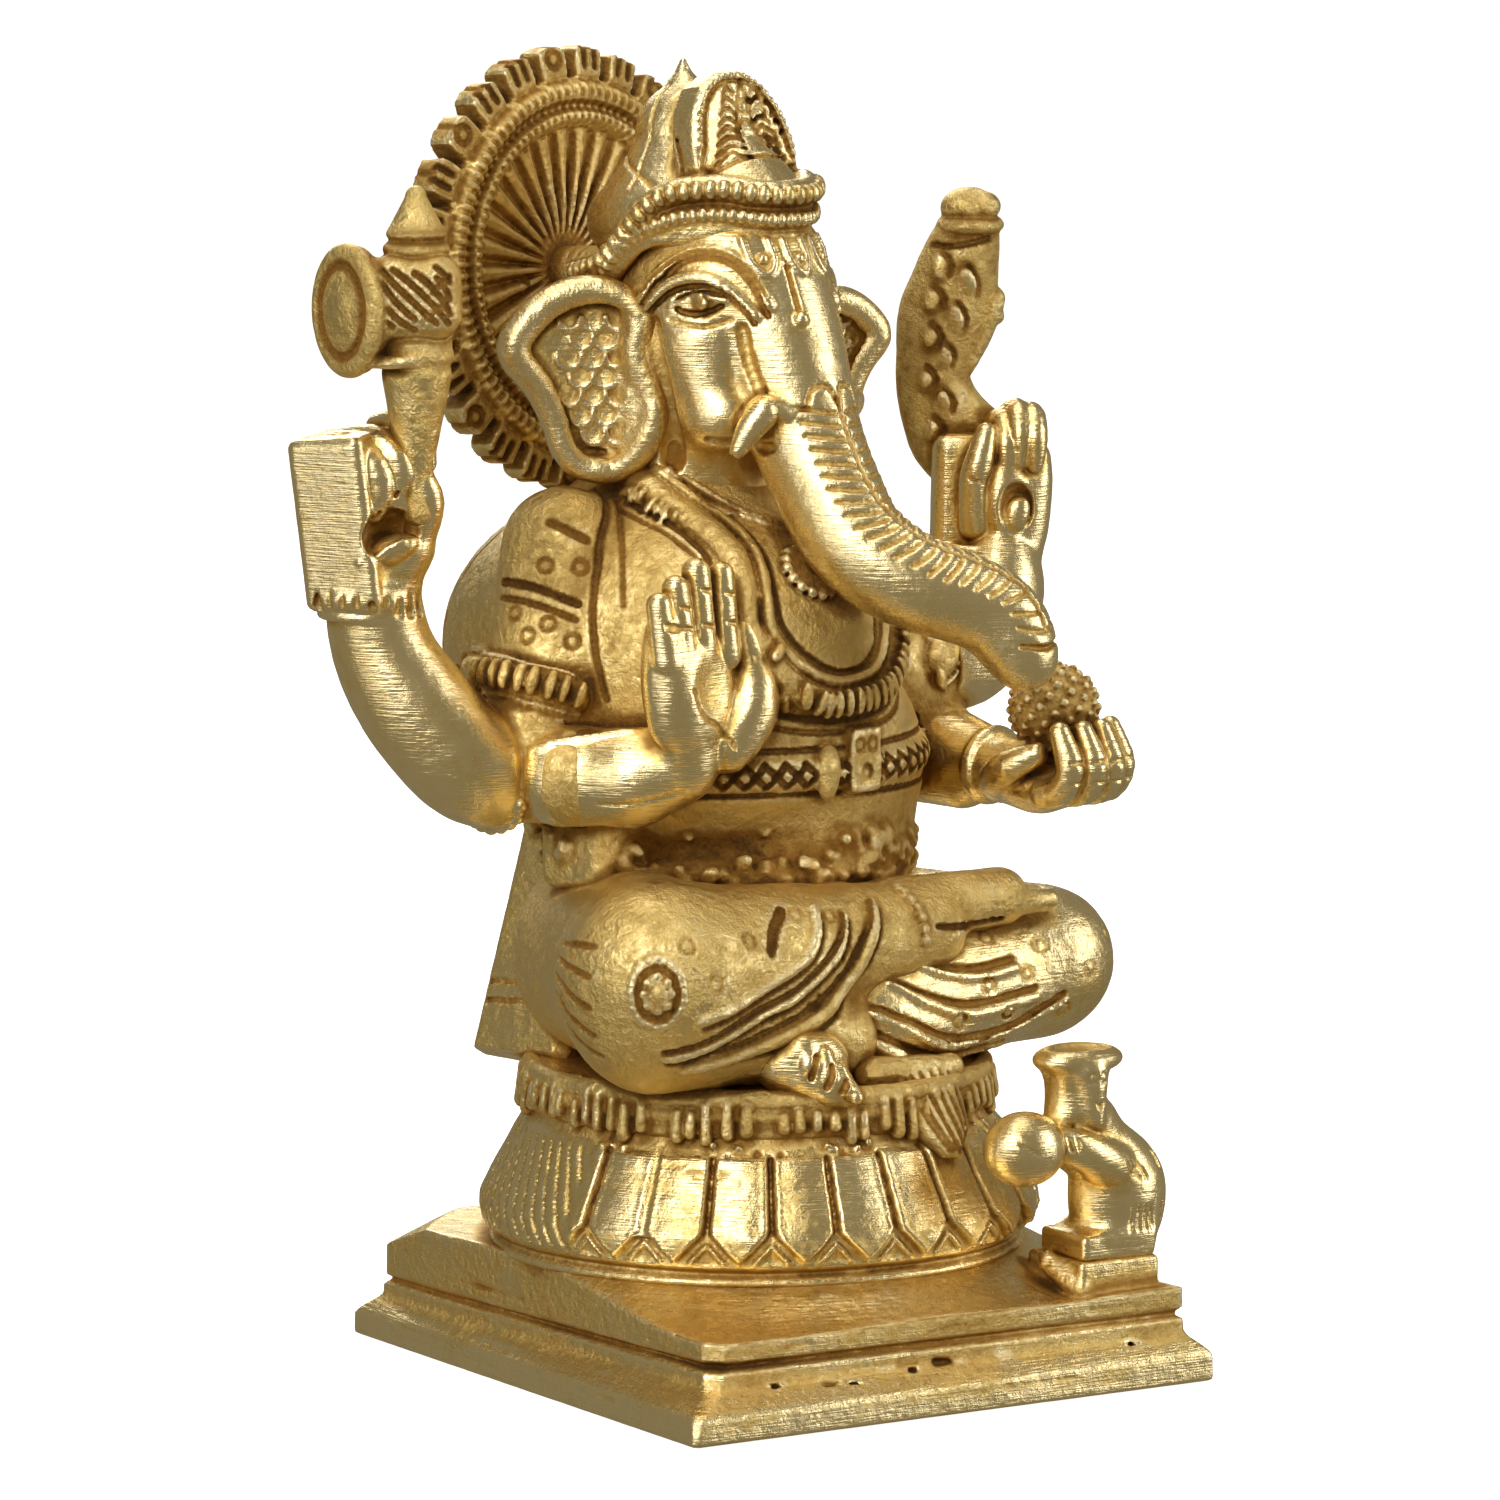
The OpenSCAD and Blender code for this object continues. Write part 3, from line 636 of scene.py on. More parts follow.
def make_torso():
    clay = Clay((-41, -20, 62), (38, 48, 121), CELL * 0.84)
    clay.egg((-2.6, 14.6, 93.5), (27.6, 32, 22.5), pad=4)
    clay.egg((0, 10.5, 81), (28.5, 28.5, 17), k=4, pad=4)
    clay.egg((1, 7, 66), (23.5, 23.5, 5.6), k=3, pad=3)
    clay.rod((6, 3, 76), (5, 2, 70), 19.5, 18.5, k=3, pad=3)
    clay.rod((0, 14, 108), (0, 12, 121), 14, 11.5, k=6, pad=3)
    # Shoulders, upper arms and elbows
    clay.rod((-20.5, 15, 107.5), (-28.6, 10.2, 85), 8.4, 7.5, k=2.2, pad=3)
    clay.rod((20, 8, 104), (28.6, 3, 84), 8.2, 7.2, k=3, pad=3)
    clay.rod((-28.6, 10.2, 83), (-36, 12, 79.5), 7.2, 6.9, k=3)
    clay.rod((-29.5, 10, 80), (-31, 2, 79.8), 7.0, 6.4, k=2)
    clay.rod((29.5, 3, 82), (30, -5, 79), 6.4, 5.6, k=2)
    clay.rod((27, 2, 88), (35, 0, 89), 6.4, 5.8, k=3)
    # The square shoulder of unworked metal under the right elbow
    clay.block((-22, 6, 71), (6.5, 6, 7), r=2, k=1.5)
    # Folds between the arm and the chest
    clay.groove([(-14.5, 16, 114.6), (-22, 7, 108.6), (-25.6, 3, 98), (-25.4, 1, 90)], 0.9, 0.5)
    clay.groove([(-14, 12, 115.2), (-20.5, 4, 108.5), (-23.4, 0, 101)], 0.6, 0.35)
    clay.groove([(15, 14, 114), (19, 2, 106), (22.6, -2, 98), (24, -2, 90)], 1.8, 1.3)
    # Armlet on the upper right arm: engraved lines, rings and a band of long beads between ropes
    clay.groove([(-26.8, 11.2, 112), (-25.4, 8.6, 110.8), (-23.6, 7.4, 109.6)], 1.1, 0.5)
    clay.groove([(-29.4, 17, 103.8), (-29.6, 9.6, 103.4), (-26.6, 5.6, 101.4)], 0.9, 0.6)
    clay.groove([(-30.2, 16.6, 101.8), (-30.2, 9.2, 101.4), (-27.2, 5.2, 99.4)], 0.7, 0.45)
    clay.dots([(-28.5, 10.1, 106.5), (-30.1, 7.8, 99.2), (-32, 9.8, 97.6), (-28.3, 5, 96.9),
        (-31.6, 12.7, 100.3), (-25, 7.2, 106)], 0.95, 0.3)
    for side, lean in ((-1, 0.0), (1, -7.0)):
        band = [(side * 27.6, 23 + lean, 91.6), (side * 33, 16 + lean, 92.2),
            (side * 34, 8 + lean, 92.1), (side * 29.6, 3.6 + lean, 90)]
        clay.ridge(band, 4.8, 1.9)
        clay.beads(band, 0.95, 1.75, -0.3, stretch=2.1)
        for lift in (2.7, -2.6):
            clay.beads([(x, y, z + lift) for x, y, z in band], 0.55, 0.8, 0.0)
    # Necklaces: long beads, a smooth rope inside them and a collar under the chin
    chain = [(-12.3, 10.1, 117), (-11.9, 3.8, 113.1), (-11.6, -2.2, 110.1), (-11.6, -7.2, 106.9),
        (-13, -10.6, 103), (-14.4, -12, 99.3), (-13, -14.4, 95.6),
             (-10.1, -15.6, 92), (-5.6, -16.6, 89.4), (0.1, -16.9, 89), (6.2, -15.6, 90),
             (11, -13.4, 93.6), (14, -11.4, 99), (13, -9, 104.4),
             (12, -3, 110), (12, 4, 113.2)]
    clay.ridge(chain, 4.2, 1.7)
    clay.beads(chain, 0.85, 1.55, -0.4, stretch=2.2)
    rope = [(-11.4, 7.7, 117.4), (-10.2, 3.1, 113.9), (-8.8, -2.8, 110.7), (-9, -8.4, 107),
        (-10.8, -12.1, 102.1), (-11.6, -14, 98), (-9.2, -15.8, 94.5),
            (-4.1, -16.9, 91.8), (0.8, -16.8, 91.4), (5.5, -15.8, 92.8), (8.6, -14.2, 96.6),
                (10.6, -12, 101), (9.6, -8, 107), (9.6, -2, 111)]
    clay.ridge(rope, 1.7, 1.2)
    clay.groove([(x * 0.86, y - 0.2, z + 1.2) for x, y, z in rope], 0.7, 0.5)
    for low, r in ((0.0, 0.7), (2.4, 0.5)):
        clay.beads([(-10.6, 5.4, 118 - low), (-7.4, 0.6, 114.6 - low), (-3.7, -3.9, 111.6 - low),
            (0.6, -5.6, 110.6 - low), (5, -3.6, 111.4 - low), (8.6, 2, 114.6 - low)],
                   r, r * 1.5, 0.0)
    # Round flower pendant on the chest
    hub = clay.drape([(-2.6, -30, 105.4)], (0, 1, 0))[0]
    facing = axes_for((-0.1, -0.75, 0.65))
    ring = [hub + facing[0] * 3.3 * math.cos(t) + facing[1] * 3.3 * math.sin(t) for t in np.linspace(0, 2 * math.pi, 16, endpoint=False)]
    clay.egg(hub, (3.4, 3.4, 1.5), facing, k=0.4)
    clay.beads(ring, 0.85, 1.35, -0.2, closed=True)
    clay.groove(ring, 0.5, 0.4, closed=True)
    clay.dots([hub + facing[2] * 1.0], 1.0, 0.35)
    # Edge of the upper garment
    edge = [(-14.6, 8.9, 113.4), (-14.2, 0, 110), (-14.4, -5.7, 106.6), (-17, -8.6, 101),
        (-18.6, -9.4, 95), (-16.4, -12.6, 90.6), (-11, -15.4, 87.8),
            (-4, -17, 86.6), (4, -17, 86.8), (11, -14.6, 88.6), (17, -10, 94)]
    clay.groove(edge, 0.8, 0.55)
    clay.groove([(x * 1.08, y + 0.1, z - 1.7) for x, y, z in edge], 0.6, 0.4)
    # Braided belt with its buckle and plate
    belt = around(29, 29, 80.6, dip=1.0)
    clay.ridge(belt, 5.4, 0.9, closed=True)
    for slant in (-0.9, 0.9):
        clay.hatch(belt, 2.1, 2.9, 0.7, 0.55, slant, closed=True)
    for lift in (3.3, -3.3):
        clay.groove([(x, y, z + lift) for x, y, z in belt], 0.6, 0.5, closed=True)
    clay.egg((-4.6, -17.8, 79.8), (1.9, 1.4, 3.7),
        axes_for((-0.18, -0.97, 0), (1, 0, 0))[[0, 2, 1]], k=0.3)
    clay.block((1.8, -17.4, 81.0), (3.0, 1.3, 4.4), axes_for(UP, (1, 0.05, 0)), r=0.6, k=0.3)
    clay.dots([(0.6, -18.6, 83), (3, -18.5, 83), (1.8, -18.6, 79.4)], 0.85, 0.3)
    clay.groove([(-1, -18.4, 77), (4.6, -18.2, 77), (4.6, -18.2, 85), (-1, -18.4, 85)], 0.4, 0.3,
        closed=True)
    # Rough waist, left as it came from the mould
    rng = np.random.default_rng(9)
    for turn in rng.uniform(0, 2 * math.pi, 260):
        at = (24.5 * math.cos(turn), 8 + 24.5 * math.sin(turn), rng.uniform(64, 71.5))
        clay.ball(clay.snap([at])[0][0], rng.uniform(0.4, 1.1), k=0.8)
    for at in ((-18, 30, 108), (-6, 38, 104), (8, 38, 106), (20, 28, 106)):
        clay.groove([at, (at[0] * 1.12, at[1] + 3, at[2] - 12),
            (at[0] * 1.1, at[1] + 1, at[2] - 21)], 1.0, 0.5)
    clay.trim((0, 0, 62.6), UP * -1)
    sculpt("torso_casting", clay, ["torso"], "brass_figure", "figure", lumps=0.3)


def make_legs():
    right = Clay((-46, -36, 38), (38, 28, 72))
    right.rod((-14, 12, 54), (-30, -12.5, 54.6), 14, 12.2, k=2, pad=4)
    right.rod((-30, -13, 55.4), (10, -19.6, 57.8), 11.6, 6.6, k=3, pad=4)
    right.rod((-30, -12, 50), (-6, -21, 45.5), 9.8, 5.4, k=4, pad=4)
    right.egg((0, 6, 52), (24, 22, 14), k=3)
    right.rod((6, -17.5, 60.0), (22, -23.0, 61.4), 4.8, 3.9, k=1.2)
    for i in range(4):
        right.rod((21.5 + 0.3 * i, -25.2 + 1.9 * i, 60.8 + 0.5 * i),
            (28.2 - 1.0 * i, -26.0 + 2.0 * i, 60.6 + 0.5 * i), 1.8, 1.55, k=0.35)
    # Cloth: a wide plain border between two hems, sweeping from the lap down under the knee
    hem = [(-11.4, -22.3, 63.3), (-13, -24.4, 60), (-16, -25, 57), (-25.5, -24.9, 53.3),
        (-33, -23.4, 51.4)]
    middle = [(-7.4, -23.6, 62), (-8.6, -25, 59.4), (-11, -25.3, 56.4), (-17, -25, 52.4),
        (-24.3, -24.4, 50.2), (-36.1, -20.5, 46.2)]
    outer = [(-2.1, -23.1, 63), (-3.4, -25, 60), (-5.6, -25.4, 56.6), (-9, -25, 52.4),
        (-13, -24.6, 49.4), (-23, -23.2, 46.3), (-33, -21, 44.6)]
    right.ridge(hem, 1.5, 0.6)
    right.ridge(middle, 1.2, 0.55)
    right.ridge(outer, 2.0, 0.9)
    for path, out in ((hem, -1.1), (middle, -1.0), (middle, 1.0), (outer, -1.4), (outer, 1.6)):
        right.groove([(x - out * 0.35, y, z + out) for x, y, z in path], 0.7, 0.5)
    right.groove([(-16.8, -21.9, 63.6), (-19.6, -23.6, 61.6), (-21.2, -24.5, 58.8)], 1.4, 1.0)
    right.dots([(-34.7, -22.9, 60.9), (-24.4, -23.8, 60.6), (-31.6, -25.2, 55.8),
        (-14.9, -22.5, 62.9), (-9.6, -23.4, 62.4), (-8.4, -25.3, 57.2), (-13.6, -24.8, 51.6),
                (-27.3, -23.4, 47.6), (-20, -24.6, 50.2), (-42, -8, 60), (-43, -4, 52),
                    (-36, -2, 66)], 1.0, 0.32)
    # Oval medallion on the knee, in a beaded border
    boss = np.array([-38.6, -21.6, 55.0])
    facing = axes_for((-0.69, -0.72, 0.0), (0.7, -0.7, 0))
    ring = [boss + facing[0] * 2.5 * math.cos(t) + facing[1] * 3.3 * math.sin(t) for t in np.linspace(0, 2 * math.pi, 20, endpoint=False)]
    right.groove(ring, 0.6, 0.3, closed=True)
    right.beads([boss + (p - boss) * 1.35 for p in ring], 0.6, 1.05, 0.1, closed=True)
    right.beads([boss + (p - boss) * 0.66 for p in ring], 0.75, 1.5, 0.15, closed=True)
    right.egg(boss, (1.2, 1.6, 1.2), facing, k=0.3)
    right.dots([boss + facing[2] * 0.8], 1.1, 0.35)
    for i in range(5):
        z = 62.5 - 3.4 * i
        right.groove([(-44, 2, z), (-43, -6, z - 1.2), (-40, -13, z - 2.8)], 0.7, 0.4)
    right.groove([(8, -22.4, 58.4), (14, -24, 58.4), (20, -25.4, 59)], 0.8, 0.7)
    right.beads([(4.5, -21.6, 64.2), (5.2, -24, 61), (5.4, -24.6, 57.6)], 0.8, 1.2, 0.0)
    right.trim((0, 0, SEAT_TOP - 0.4), UP * -1)
    sculpt("right_leg_casting", right, ["right_leg"], "brass_figure", "figure", lumps=0.24)
    left = Clay((-8, -36, 38), (49, 28, 67))
    left.rod((13, 10, 52.2), (34.6, -18.4, 51.2), 13.0, 9.9, k=2, pad=4)
    left.rod((2, -15.5, 49.5), (32, -17.8, 50.6), 9.6, 9.4, k=2.5, pad=4)
    left.rod((31.6, -18.6, 49.8), (2, -21, 45), 7.2, 6.4, k=3, pad=4)
    left.rod((34, 4, 49.6), (33.4, -12, 50), 7.4, 7.6, k=3, pad=4)
    # Three deep folds fanning out from the lap, each with a raised lip
    folds = ([(5, -24.6, 56), (9.4, -24.6, 53.6), (15, -25, 52.6), (21.6, -25.4, 53.2)],
             [(0, -25, 54), (5, -25.4, 50.4), (13, -26.2, 48.4), (25, -27, 49.4)],
             [(-4, -25, 50.6), (2, -25.6, 47), (10, -26, 44.6), (20, -26.4, 44.4), (30, -27.6, 48)],
             [(-3, -24.6, 46.4), (4, -25.4, 43.4), (12, -25.4, 41.6), (22, -25.4, 41.4)])
    for fold in folds:
        left.ridge([(x, y, z - 1.3) for x, y, z in fold], 1.5, 0.6)
        left.groove(fold, 0.9, 0.6)
    for t in np.linspace(0.06, 0.94, 26):
        x = -1 + 23 * t
        left.groove([(x, -25.4, 44.6 - 1.4 * t), (x + 0.9, -25.8, 43.2 - 1.4 * t)], 0.5, 0.35)
    left.dots([(18.8, -23.6, 56.4), (26.6, -26.2, 55), (38.6, -24.6, 54.6), (16.4, -26.4, 50.4),
        (23.6, -27, 51.4), (10.7, -26.6, 46.4), (20, -27, 46.6), (30.4, -27.6, 45),
               (34, -27.6, 51), (43, -18, 52), (42, -10, 47), (33, -14, 60)], 1.0, 0.32)
    for i in range(5):
        y = -14 + 4.6 * i
        left.groove([(36 - 0.7 * i, y, 60 + 0.3 * i), (43.4 - 0.5 * i, y + 1.4, 54),
            (44 - 0.5 * i, y + 2, 48)], 0.7, 0.4)
    left.trim((0, 0, SEAT_TOP - 0.4), UP * -1)
    sculpt("left_leg_casting", left, ["left_leg"], "brass_figure", "chased", lumps=0.24)
    foot = Clay((-20, -36, 34), (6, -14, 52), FINE)
    foot.egg((-14.4, -22.8, 43.6), (6.4, 4.6, 4.6), axes_for(UP, (0.85, -0.5, 0)), k=1)
    foot.egg((-15.6, -24.2, 45.2), (3.2, 3.0, 2.8), k=0.6)
    foot.tube(aside((0, 0, 0),
        [(1.0, -27, 43.4), (6.4, -27.6, 42.6), (9.4, -28, 40.8), (11.4, -28.2, 39.4)]),
            [2.0, 3.6, 3.0, 1.6], k=1.0)
    for s, top, low, r in ((6.2, 46.0, 43.8, 1.7), (8.9, 44.9, 42.0, 1.35),
            (10.9, 43.0, 40.8, 1.15), (12.2, 41.2, 39.6, 0.95)):
        foot.rod(*aside((0, 0, 0), [(s - 0.3, -29.4, top), (s + 0.5, -30.4, low)]), r * 0.85, r,
            k=0.12)
    for a, b in (((8.6, 46.0), (7.0, 42.0)), ((10.4, 44.4), (8.8, 40.6)),
            ((11.8, 42.4), (10.4, 39.6))):
        foot.groove(aside((0, 0, 0), [(a[0], -32.0, a[1]), (b[0], -32.0, b[1])]), 0.9, 0.7,
            step=0.6)
    sculpt("left_foot_casting", foot, ["left_foot"], "brass_bright", "polished")
    pleat = Clay((-6, -42, 28), (14, -20, 48), FINE)
    outline = [(-2.5, 2), (-0.5, 4.5), (5, 4), (8.6, 2), (8.0, -3), (6.4, -7), (3.2, -10.4),
        (1.2, -10), (-1.5, -5.5)]
    lean = axes_for((0, -0.82, 0.57), (1, -0.05, 0))
    pleat.plate(outline, (-0.2, -28.4, 38.8), lean, 3.4, r=1.4, bend=lambda u,
        v: 0.05 * (u - 3.5) ** 2 * -1 + 0.6)
    for i in range(6):
        start = np.array([-2.9 + 1.9 * i, -30.1, 41.8])
        pleat.groove([start, start + (0.6 - 0.2 * i, -3.5, -5),
            start + (2.6 - 0.75 * i, -6.5, -11)], 0.6, 0.4)
    pleat.rod((-4.7, -26.1, 41.3), (8.3, -27.6, 40.8), 2.2, 1.8, k=0.8)
    sculpt("garment_pleat_casting", pleat, ["garment_pleat"], "brass_figure", "figure")


TRUNK = [(0, -0.8, 141), (0, -4.9, 132.8), (0, -8.2, 124.7), (0, -13.0, 116.4),
    (0.6, -18.2, 109.2), (4.4, -24.2, 104.6), (9.6, -28.2, 102.4), (13.8, -31.4, 99.6),
         (15.4, -34, 94.4)]
TRUNK_RADII = [8.0, 7.3, 6.6, 6.0, 5.9, 5.6, 5.2, 4.8, 4.2]


def ring_trunk(clay):
    """Chase the front of the trunk: a centre line, with short ribs slanting away on both sides."""
    path = curve(TRUNK, 1.0)
    radii = np.interp(np.linspace(0, 1, len(path)), np.linspace(0, 1, len(TRUNK)), TRUNK_RADII)
    centre = []
    for i in range(18, len(path) - 2):
        ahead = unit(path[i + 1] - path[i - 1])
        front = np.array((0.0, -0.55, 0.83))
        front = unit(front - ahead * np.dot(front, ahead))
        side = np.cross(front, ahead)

        def spot(turn, along):
            return path[i] + radii[i] * (front * math.cos(turn) + side * math.sin(turn)) + ahead * along

        centre.append(spot(0, 0))
        if i % 2:
            for way in (-1, 1):
                clay.groove([spot(way * 0.12, 0.9), spot(way * 0.45, 0.3), spot(way * 0.8, -0.9)],
                    0.6, 0.38, step=0.9)
    clay.groove(centre, 0.6, 0.45)


def make_head():
    clay = Clay((-20, -40, 86), (26, 32, 158), 0.32)
    clay.egg((0, 9.5, 138), (14.3, 17, 18), pad=4)
    clay.egg((0, 1, 143), (10.2, 8.4, 10), k=4, pad=3)
    for side in (-1, 1):
        # Flat cheek that swells over the mouth
        clay.rod((side * 7.6, 2, 134), (side * 7.8, -0.5, 126), 6.0, 4.8, k=3, pad=3)
        clay.egg((side * 8.0, -1.4, 125.4), (4.4, 5.4, 4.2), k=1.5)
    clay.tube(curve(TRUNK, 2.5), TRUNK_RADII, k=2.5, pad=3)
    clay.rod((0, 12, 126), (0, 12, 117.4), 13, 12.5, k=4)
    for side in (-1, 1):
        # Hollow between the jaw and the neck, mouth corner and lip roll
        clay.groove([(side * 14.4, 5.4, 137), (side * 14, 4.4, 131), (side * 13, 4.2, 124),
            (side * 11.6, 4.4, 119)], 3.2, 1.6)
        clay.groove([(side * 9.4, -6.4, 137), (side * 9.6, -7.6, 132), (side * 9, -9.6, 128)], 1.8,
            0.8)
        clay.groove([(side * 12, -3, 121.6), (side * 8, -7, 121.4), (side * 6, -10, 121.8)], 1.5,
            0.9)
        clay.tube(curve([(side * 8.8, -7.6, 124.8), (side * 8.2, -9.4, 127.2),
            (side * 6.2, -11.8, 126.2)], 0.8), [1.2, 1.4, 1.0], k=0.6)
        # Two broad arched brows with deep lines under each
        outer = [(side * 14.2, 7.1, 140.3), (side * 14.4, 4.2, 144.4), (side * 12.8, -0.2, 147.2),
            (side * 10.4, -4.8, 146.8), (side * 8.2, -6.8, 144.2),
                 (side * 6.4, -8.6, 140.2)]
        inner = [(side * 14, 6.4, 139.6), (side * 12.9, 2.7, 142.8), (side * 11.6, -1.3, 143.6),
            (side * 10, -4.4, 142.2), (side * 7.8, -7.5, 138.9)]
        clay.ridge(outer, 2.2, 0.75)
        clay.ridge(inner, 1.8, 0.75)
        clay.groove([(x, y, z + 1.5) for x, y, z in outer], 0.8, 0.6)
        clay.groove([(x, y, z - 1.5) for x, y, z in outer], 0.8, 0.7)
        clay.groove([(x, y, z - 1.25) for x, y, z in inner], 0.8, 0.7)
        # Almond eye between heavy lids
        eye = [(side * 13.3, 2.2, 140.0), (side * 12.7, 0.2, 141.3), (side * 11.6, -2, 141.6),
            (side * 10.2, -4.3, 140.5), (side * 11.5, -2.2, 139.1),
               (side * 12.8, 0.4, 139.0)]
        clay.groove(eye, 0.75, 0.7, closed=True)
        clay.egg((side * 11.5, -0.9, 140.3), (0.75, 2.5, 1.05),
            axes_for(UP, (1, 0.35 * side, 0))[[0, 1, 2]], k=0.25)
        clay.ridge(eye[:4], 0.8, 0.35)
        clay.groove([(side * 13.2, 2.4, 137.9), (side * 11.8, -1.8, 137.2),
            (side * 9.8, -5.2, 138.2)], 0.55, 0.35)
    # Drops hanging from the brow band, and the mark drawn down the forehead to a ball
    for x in (-5.4, -0.4, 4.4):
        drop = clay.drape([(x - 1.5, -30, 148.4), (x - 1.4, -30, 145.6), (x, -30, 143.8),
            (x + 1.4, -30, 145.6), (x + 1.5, -30, 148.4)], (0, 1, 0))
        clay.ridge(drop, 0.9, 0.55, step=0.6)
        clay.ball(clay.drape([(x, -30, 145.9)], (0, 1, 0))[0], 0.75, k=0.15)
    mark = clay.drape([(-2.6, -30, 145), (-2.7, -30, 142), (-2.8, -30, 139.4)], (0, 1, 0))
    clay.groove(mark, 0.75, 0.55)
    clay.ball(clay.drape([(-2.9, -30, 138.2)], (0, 1, 0))[0], 1.05, k=0.15)
    clay.groove([(-4.6, -14, 127.0), (-3.6, -14, 129.4), (-1.2, -15, 129.8), (0, -15.4, 127.6),
        (1.2, -15, 129.8), (3.6, -14, 129.4), (4.6, -14, 127.0)], 0.6, 0.4)
    ring_trunk(clay)
    # Nostril lip at the tip
    clay.groove([(12.4, -36, 96.6), (14.4, -38, 96.2), (17, -37, 96.4), (19, -34, 97)], 0.7, 0.5)
    sculpt("head_casting", clay, ["head"], "brass_bright", "face", lumps=0.09)
    tusk = Clay((-17, -16, 116), (-3, -3, 131), FINE)
    tusk.tube(curve([(-8.6, -10.0, 126.4), (-10.4, -9.3, 124.2), (-11.9, -8.6, 121.6)], 0.8),
        [2.1, 1.75, 1.1], k=0.2)
    tusk.groove([(-9.2, -12.2, 124.4), (-10.2, -11.6, 122.8), (-11.4, -10.6, 121.4)], 0.5, 0.3)
    tusk.trim((-12.4, -8.4, 120.9), (-0.5, 0.3, -0.8))
    sculpt("right_tusk_stub", tusk, ["right_tusk"], "brass_bright", "polished", lumps=0.05)


def make_crown():
    clay = Clay((-19, -12, 138), (19, 32, 173), FINE)
    # Cap over the skull, drawn up to a point at the back
    clay.egg((0, 11, 149.5), (13.6, 16.0, 7.5), pad=3)
    clay.rod((0, 12.2, 153), (0, 13, 161), 12.2, 7.0, k=2.5, pad=3)
    clay.rod((0, 13, 160), (0, 13.8, 166.6), 7.2, 2.6, k=0.8, pad=3)
    clay.rod((0, 13.8, 166), (0, 14, 170.6), 2.7, 0.5, k=0.5)
    clay.rod((0, 4, 152), (0, 7, 159), 9.4, 6.0, k=1.5, pad=3)
    # Arched front plate with a thick polished edge
    arch = [(-9.3, 0), (8.9, 0), (8.8, 4.0), (7.2, 8.2), (4.4, 11.8), (0.8, 13.9), (-3.6, 13.9),
        (-6.8, 12.2), (-8.8, 9.0), (-9.5, 4.5)]
    face = axes_for((0, -1, 0.17), (1, 0, 0))
    at = np.array([0.4, 4.6, 155.5])
    clay.plate(arch, at + face[2] * 0.8, face, 4.8, r=0.9, k=0.5)
    front = at + face[2] * 3.2

    def on_plate(u, v):
        return front + face[0] * u + face[1] * v

    inner = [on_plate(u * 0.80, v * 0.86 + 0.6) for u, v in arch]
    clay.groove(inner, 0.7, 0.4, closed=True)
    clay.beads([on_plate(u * 0.90, v * 0.93 + 0.3) for u, v in arch[1:]], 0.5, 1.15, 0.1)
    # Leaf fans either side of a central flower, cut deep
    for side in (-1, 1):
        for i in range(8):
            v = 1.8 + 1.35 * i
            clay.groove([on_plate(side * (1.4 + 0.02 * i), v - 0.4),
                on_plate(side * (3.4 - 0.1 * i), v + 0.8),
                    on_plate(side * (6.2 - 0.42 * i), v - 0.3)], 0.55, 0.42)
        clay.groove([on_plate(side * 1.1, 1.2), on_plate(side * 1.6, 7), on_plate(0, 12.6)], 0.5,
            0.35)
    clay.dots([on_plate(u, v) for u,
        v in ((3.2, 2.2), (6.0, 3.0), (4.4, 5.2), (6.2, 6.4), (2.8, 7.6), (4.6, 8.8),
            (2.2, 10.4))], 0.95, 0.36)
    for v, r in ((3.4, 1.0), (6.4, 0.8), (9.2, 0.65)):
        clay.ball(on_plate(0, v) - face[2] * 0.35, r, k=0.2)
        clay.loop(on_plate(0, v), r + 0.35, 0.28, axes_for(face[2]), cut=True)
    # Panel lines on the cap's sides and back
    for side in (-1, 1):
        clay.groove([(side * 14, 4, 156.4), (side * 13, 10, 158.0), (side * 10, 17, 159.0),
            (side * 3, 22, 159.4)], 0.55, 0.4)
        clay.groove([(side * 9, 4.6, 156), (side * 7.4, 5.6, 161), (side * 5, 7.4, 166)], 0.6, 0.5)
        clay.groove([(side * 13, 12, 156), (side * 9, 13, 163), (side * 3, 14, 168)], 0.5, 0.3)
    # Brow bands: level over the forehead, then dropping steeply over the temples to the nape
    half = [(0, -6.0, 154.1), (4.2, -4.4, 154.2), (8.0, -0.4, 154.9), (11.8, 5.0, 153.8),
        (14.0, 8.5, 149.5), (14.6, 13, 145), (12.6, 20, 143.2), (7, 25.4, 142.8)]
    for band, (drop, pitch) in enumerate(((0.0, 1.75), (3.2, 1.3), (5.4, 0))):
        path = [(x, y, z - drop * (1 - 0.5 * (i > 3))) for i, (x, y, z) in enumerate(half)]
        path += [(-x, y, z) for x, y, z in path[:0:-1]]
        loop = curve(path, 1.0, closed=True)
        big = (1.75, 1.4, 0.8)[band]
        clay.tube(np.vstack([loop, loop[:1]]), big, k=0.4)
        if pitch:
            outer = [np.array(p) + unit((p[0], p[1] - 10, 0)) * (big + 0.3) for p in path]
            clay.beads(outer, pitch * 0.56, pitch, 0.1, closed=True,
                stretch=big * 0.72 / (pitch * 0.56))
    sculpt("crown_casting", clay, ["crown"], "brass_figure", "chased", lumps=0.16)


EAR = [(-1, 8.2), (3, 11.6), (8, 12.4), (13.5, 10.6), (18, 6.4), (19.2, 2.8), (15.6, -2.2),
    (13.2, -7.2), (11.8, -11.6), (9.2, -14.8),
       (5.4, -15.6), (2.0, -12.4), (0, -4)]


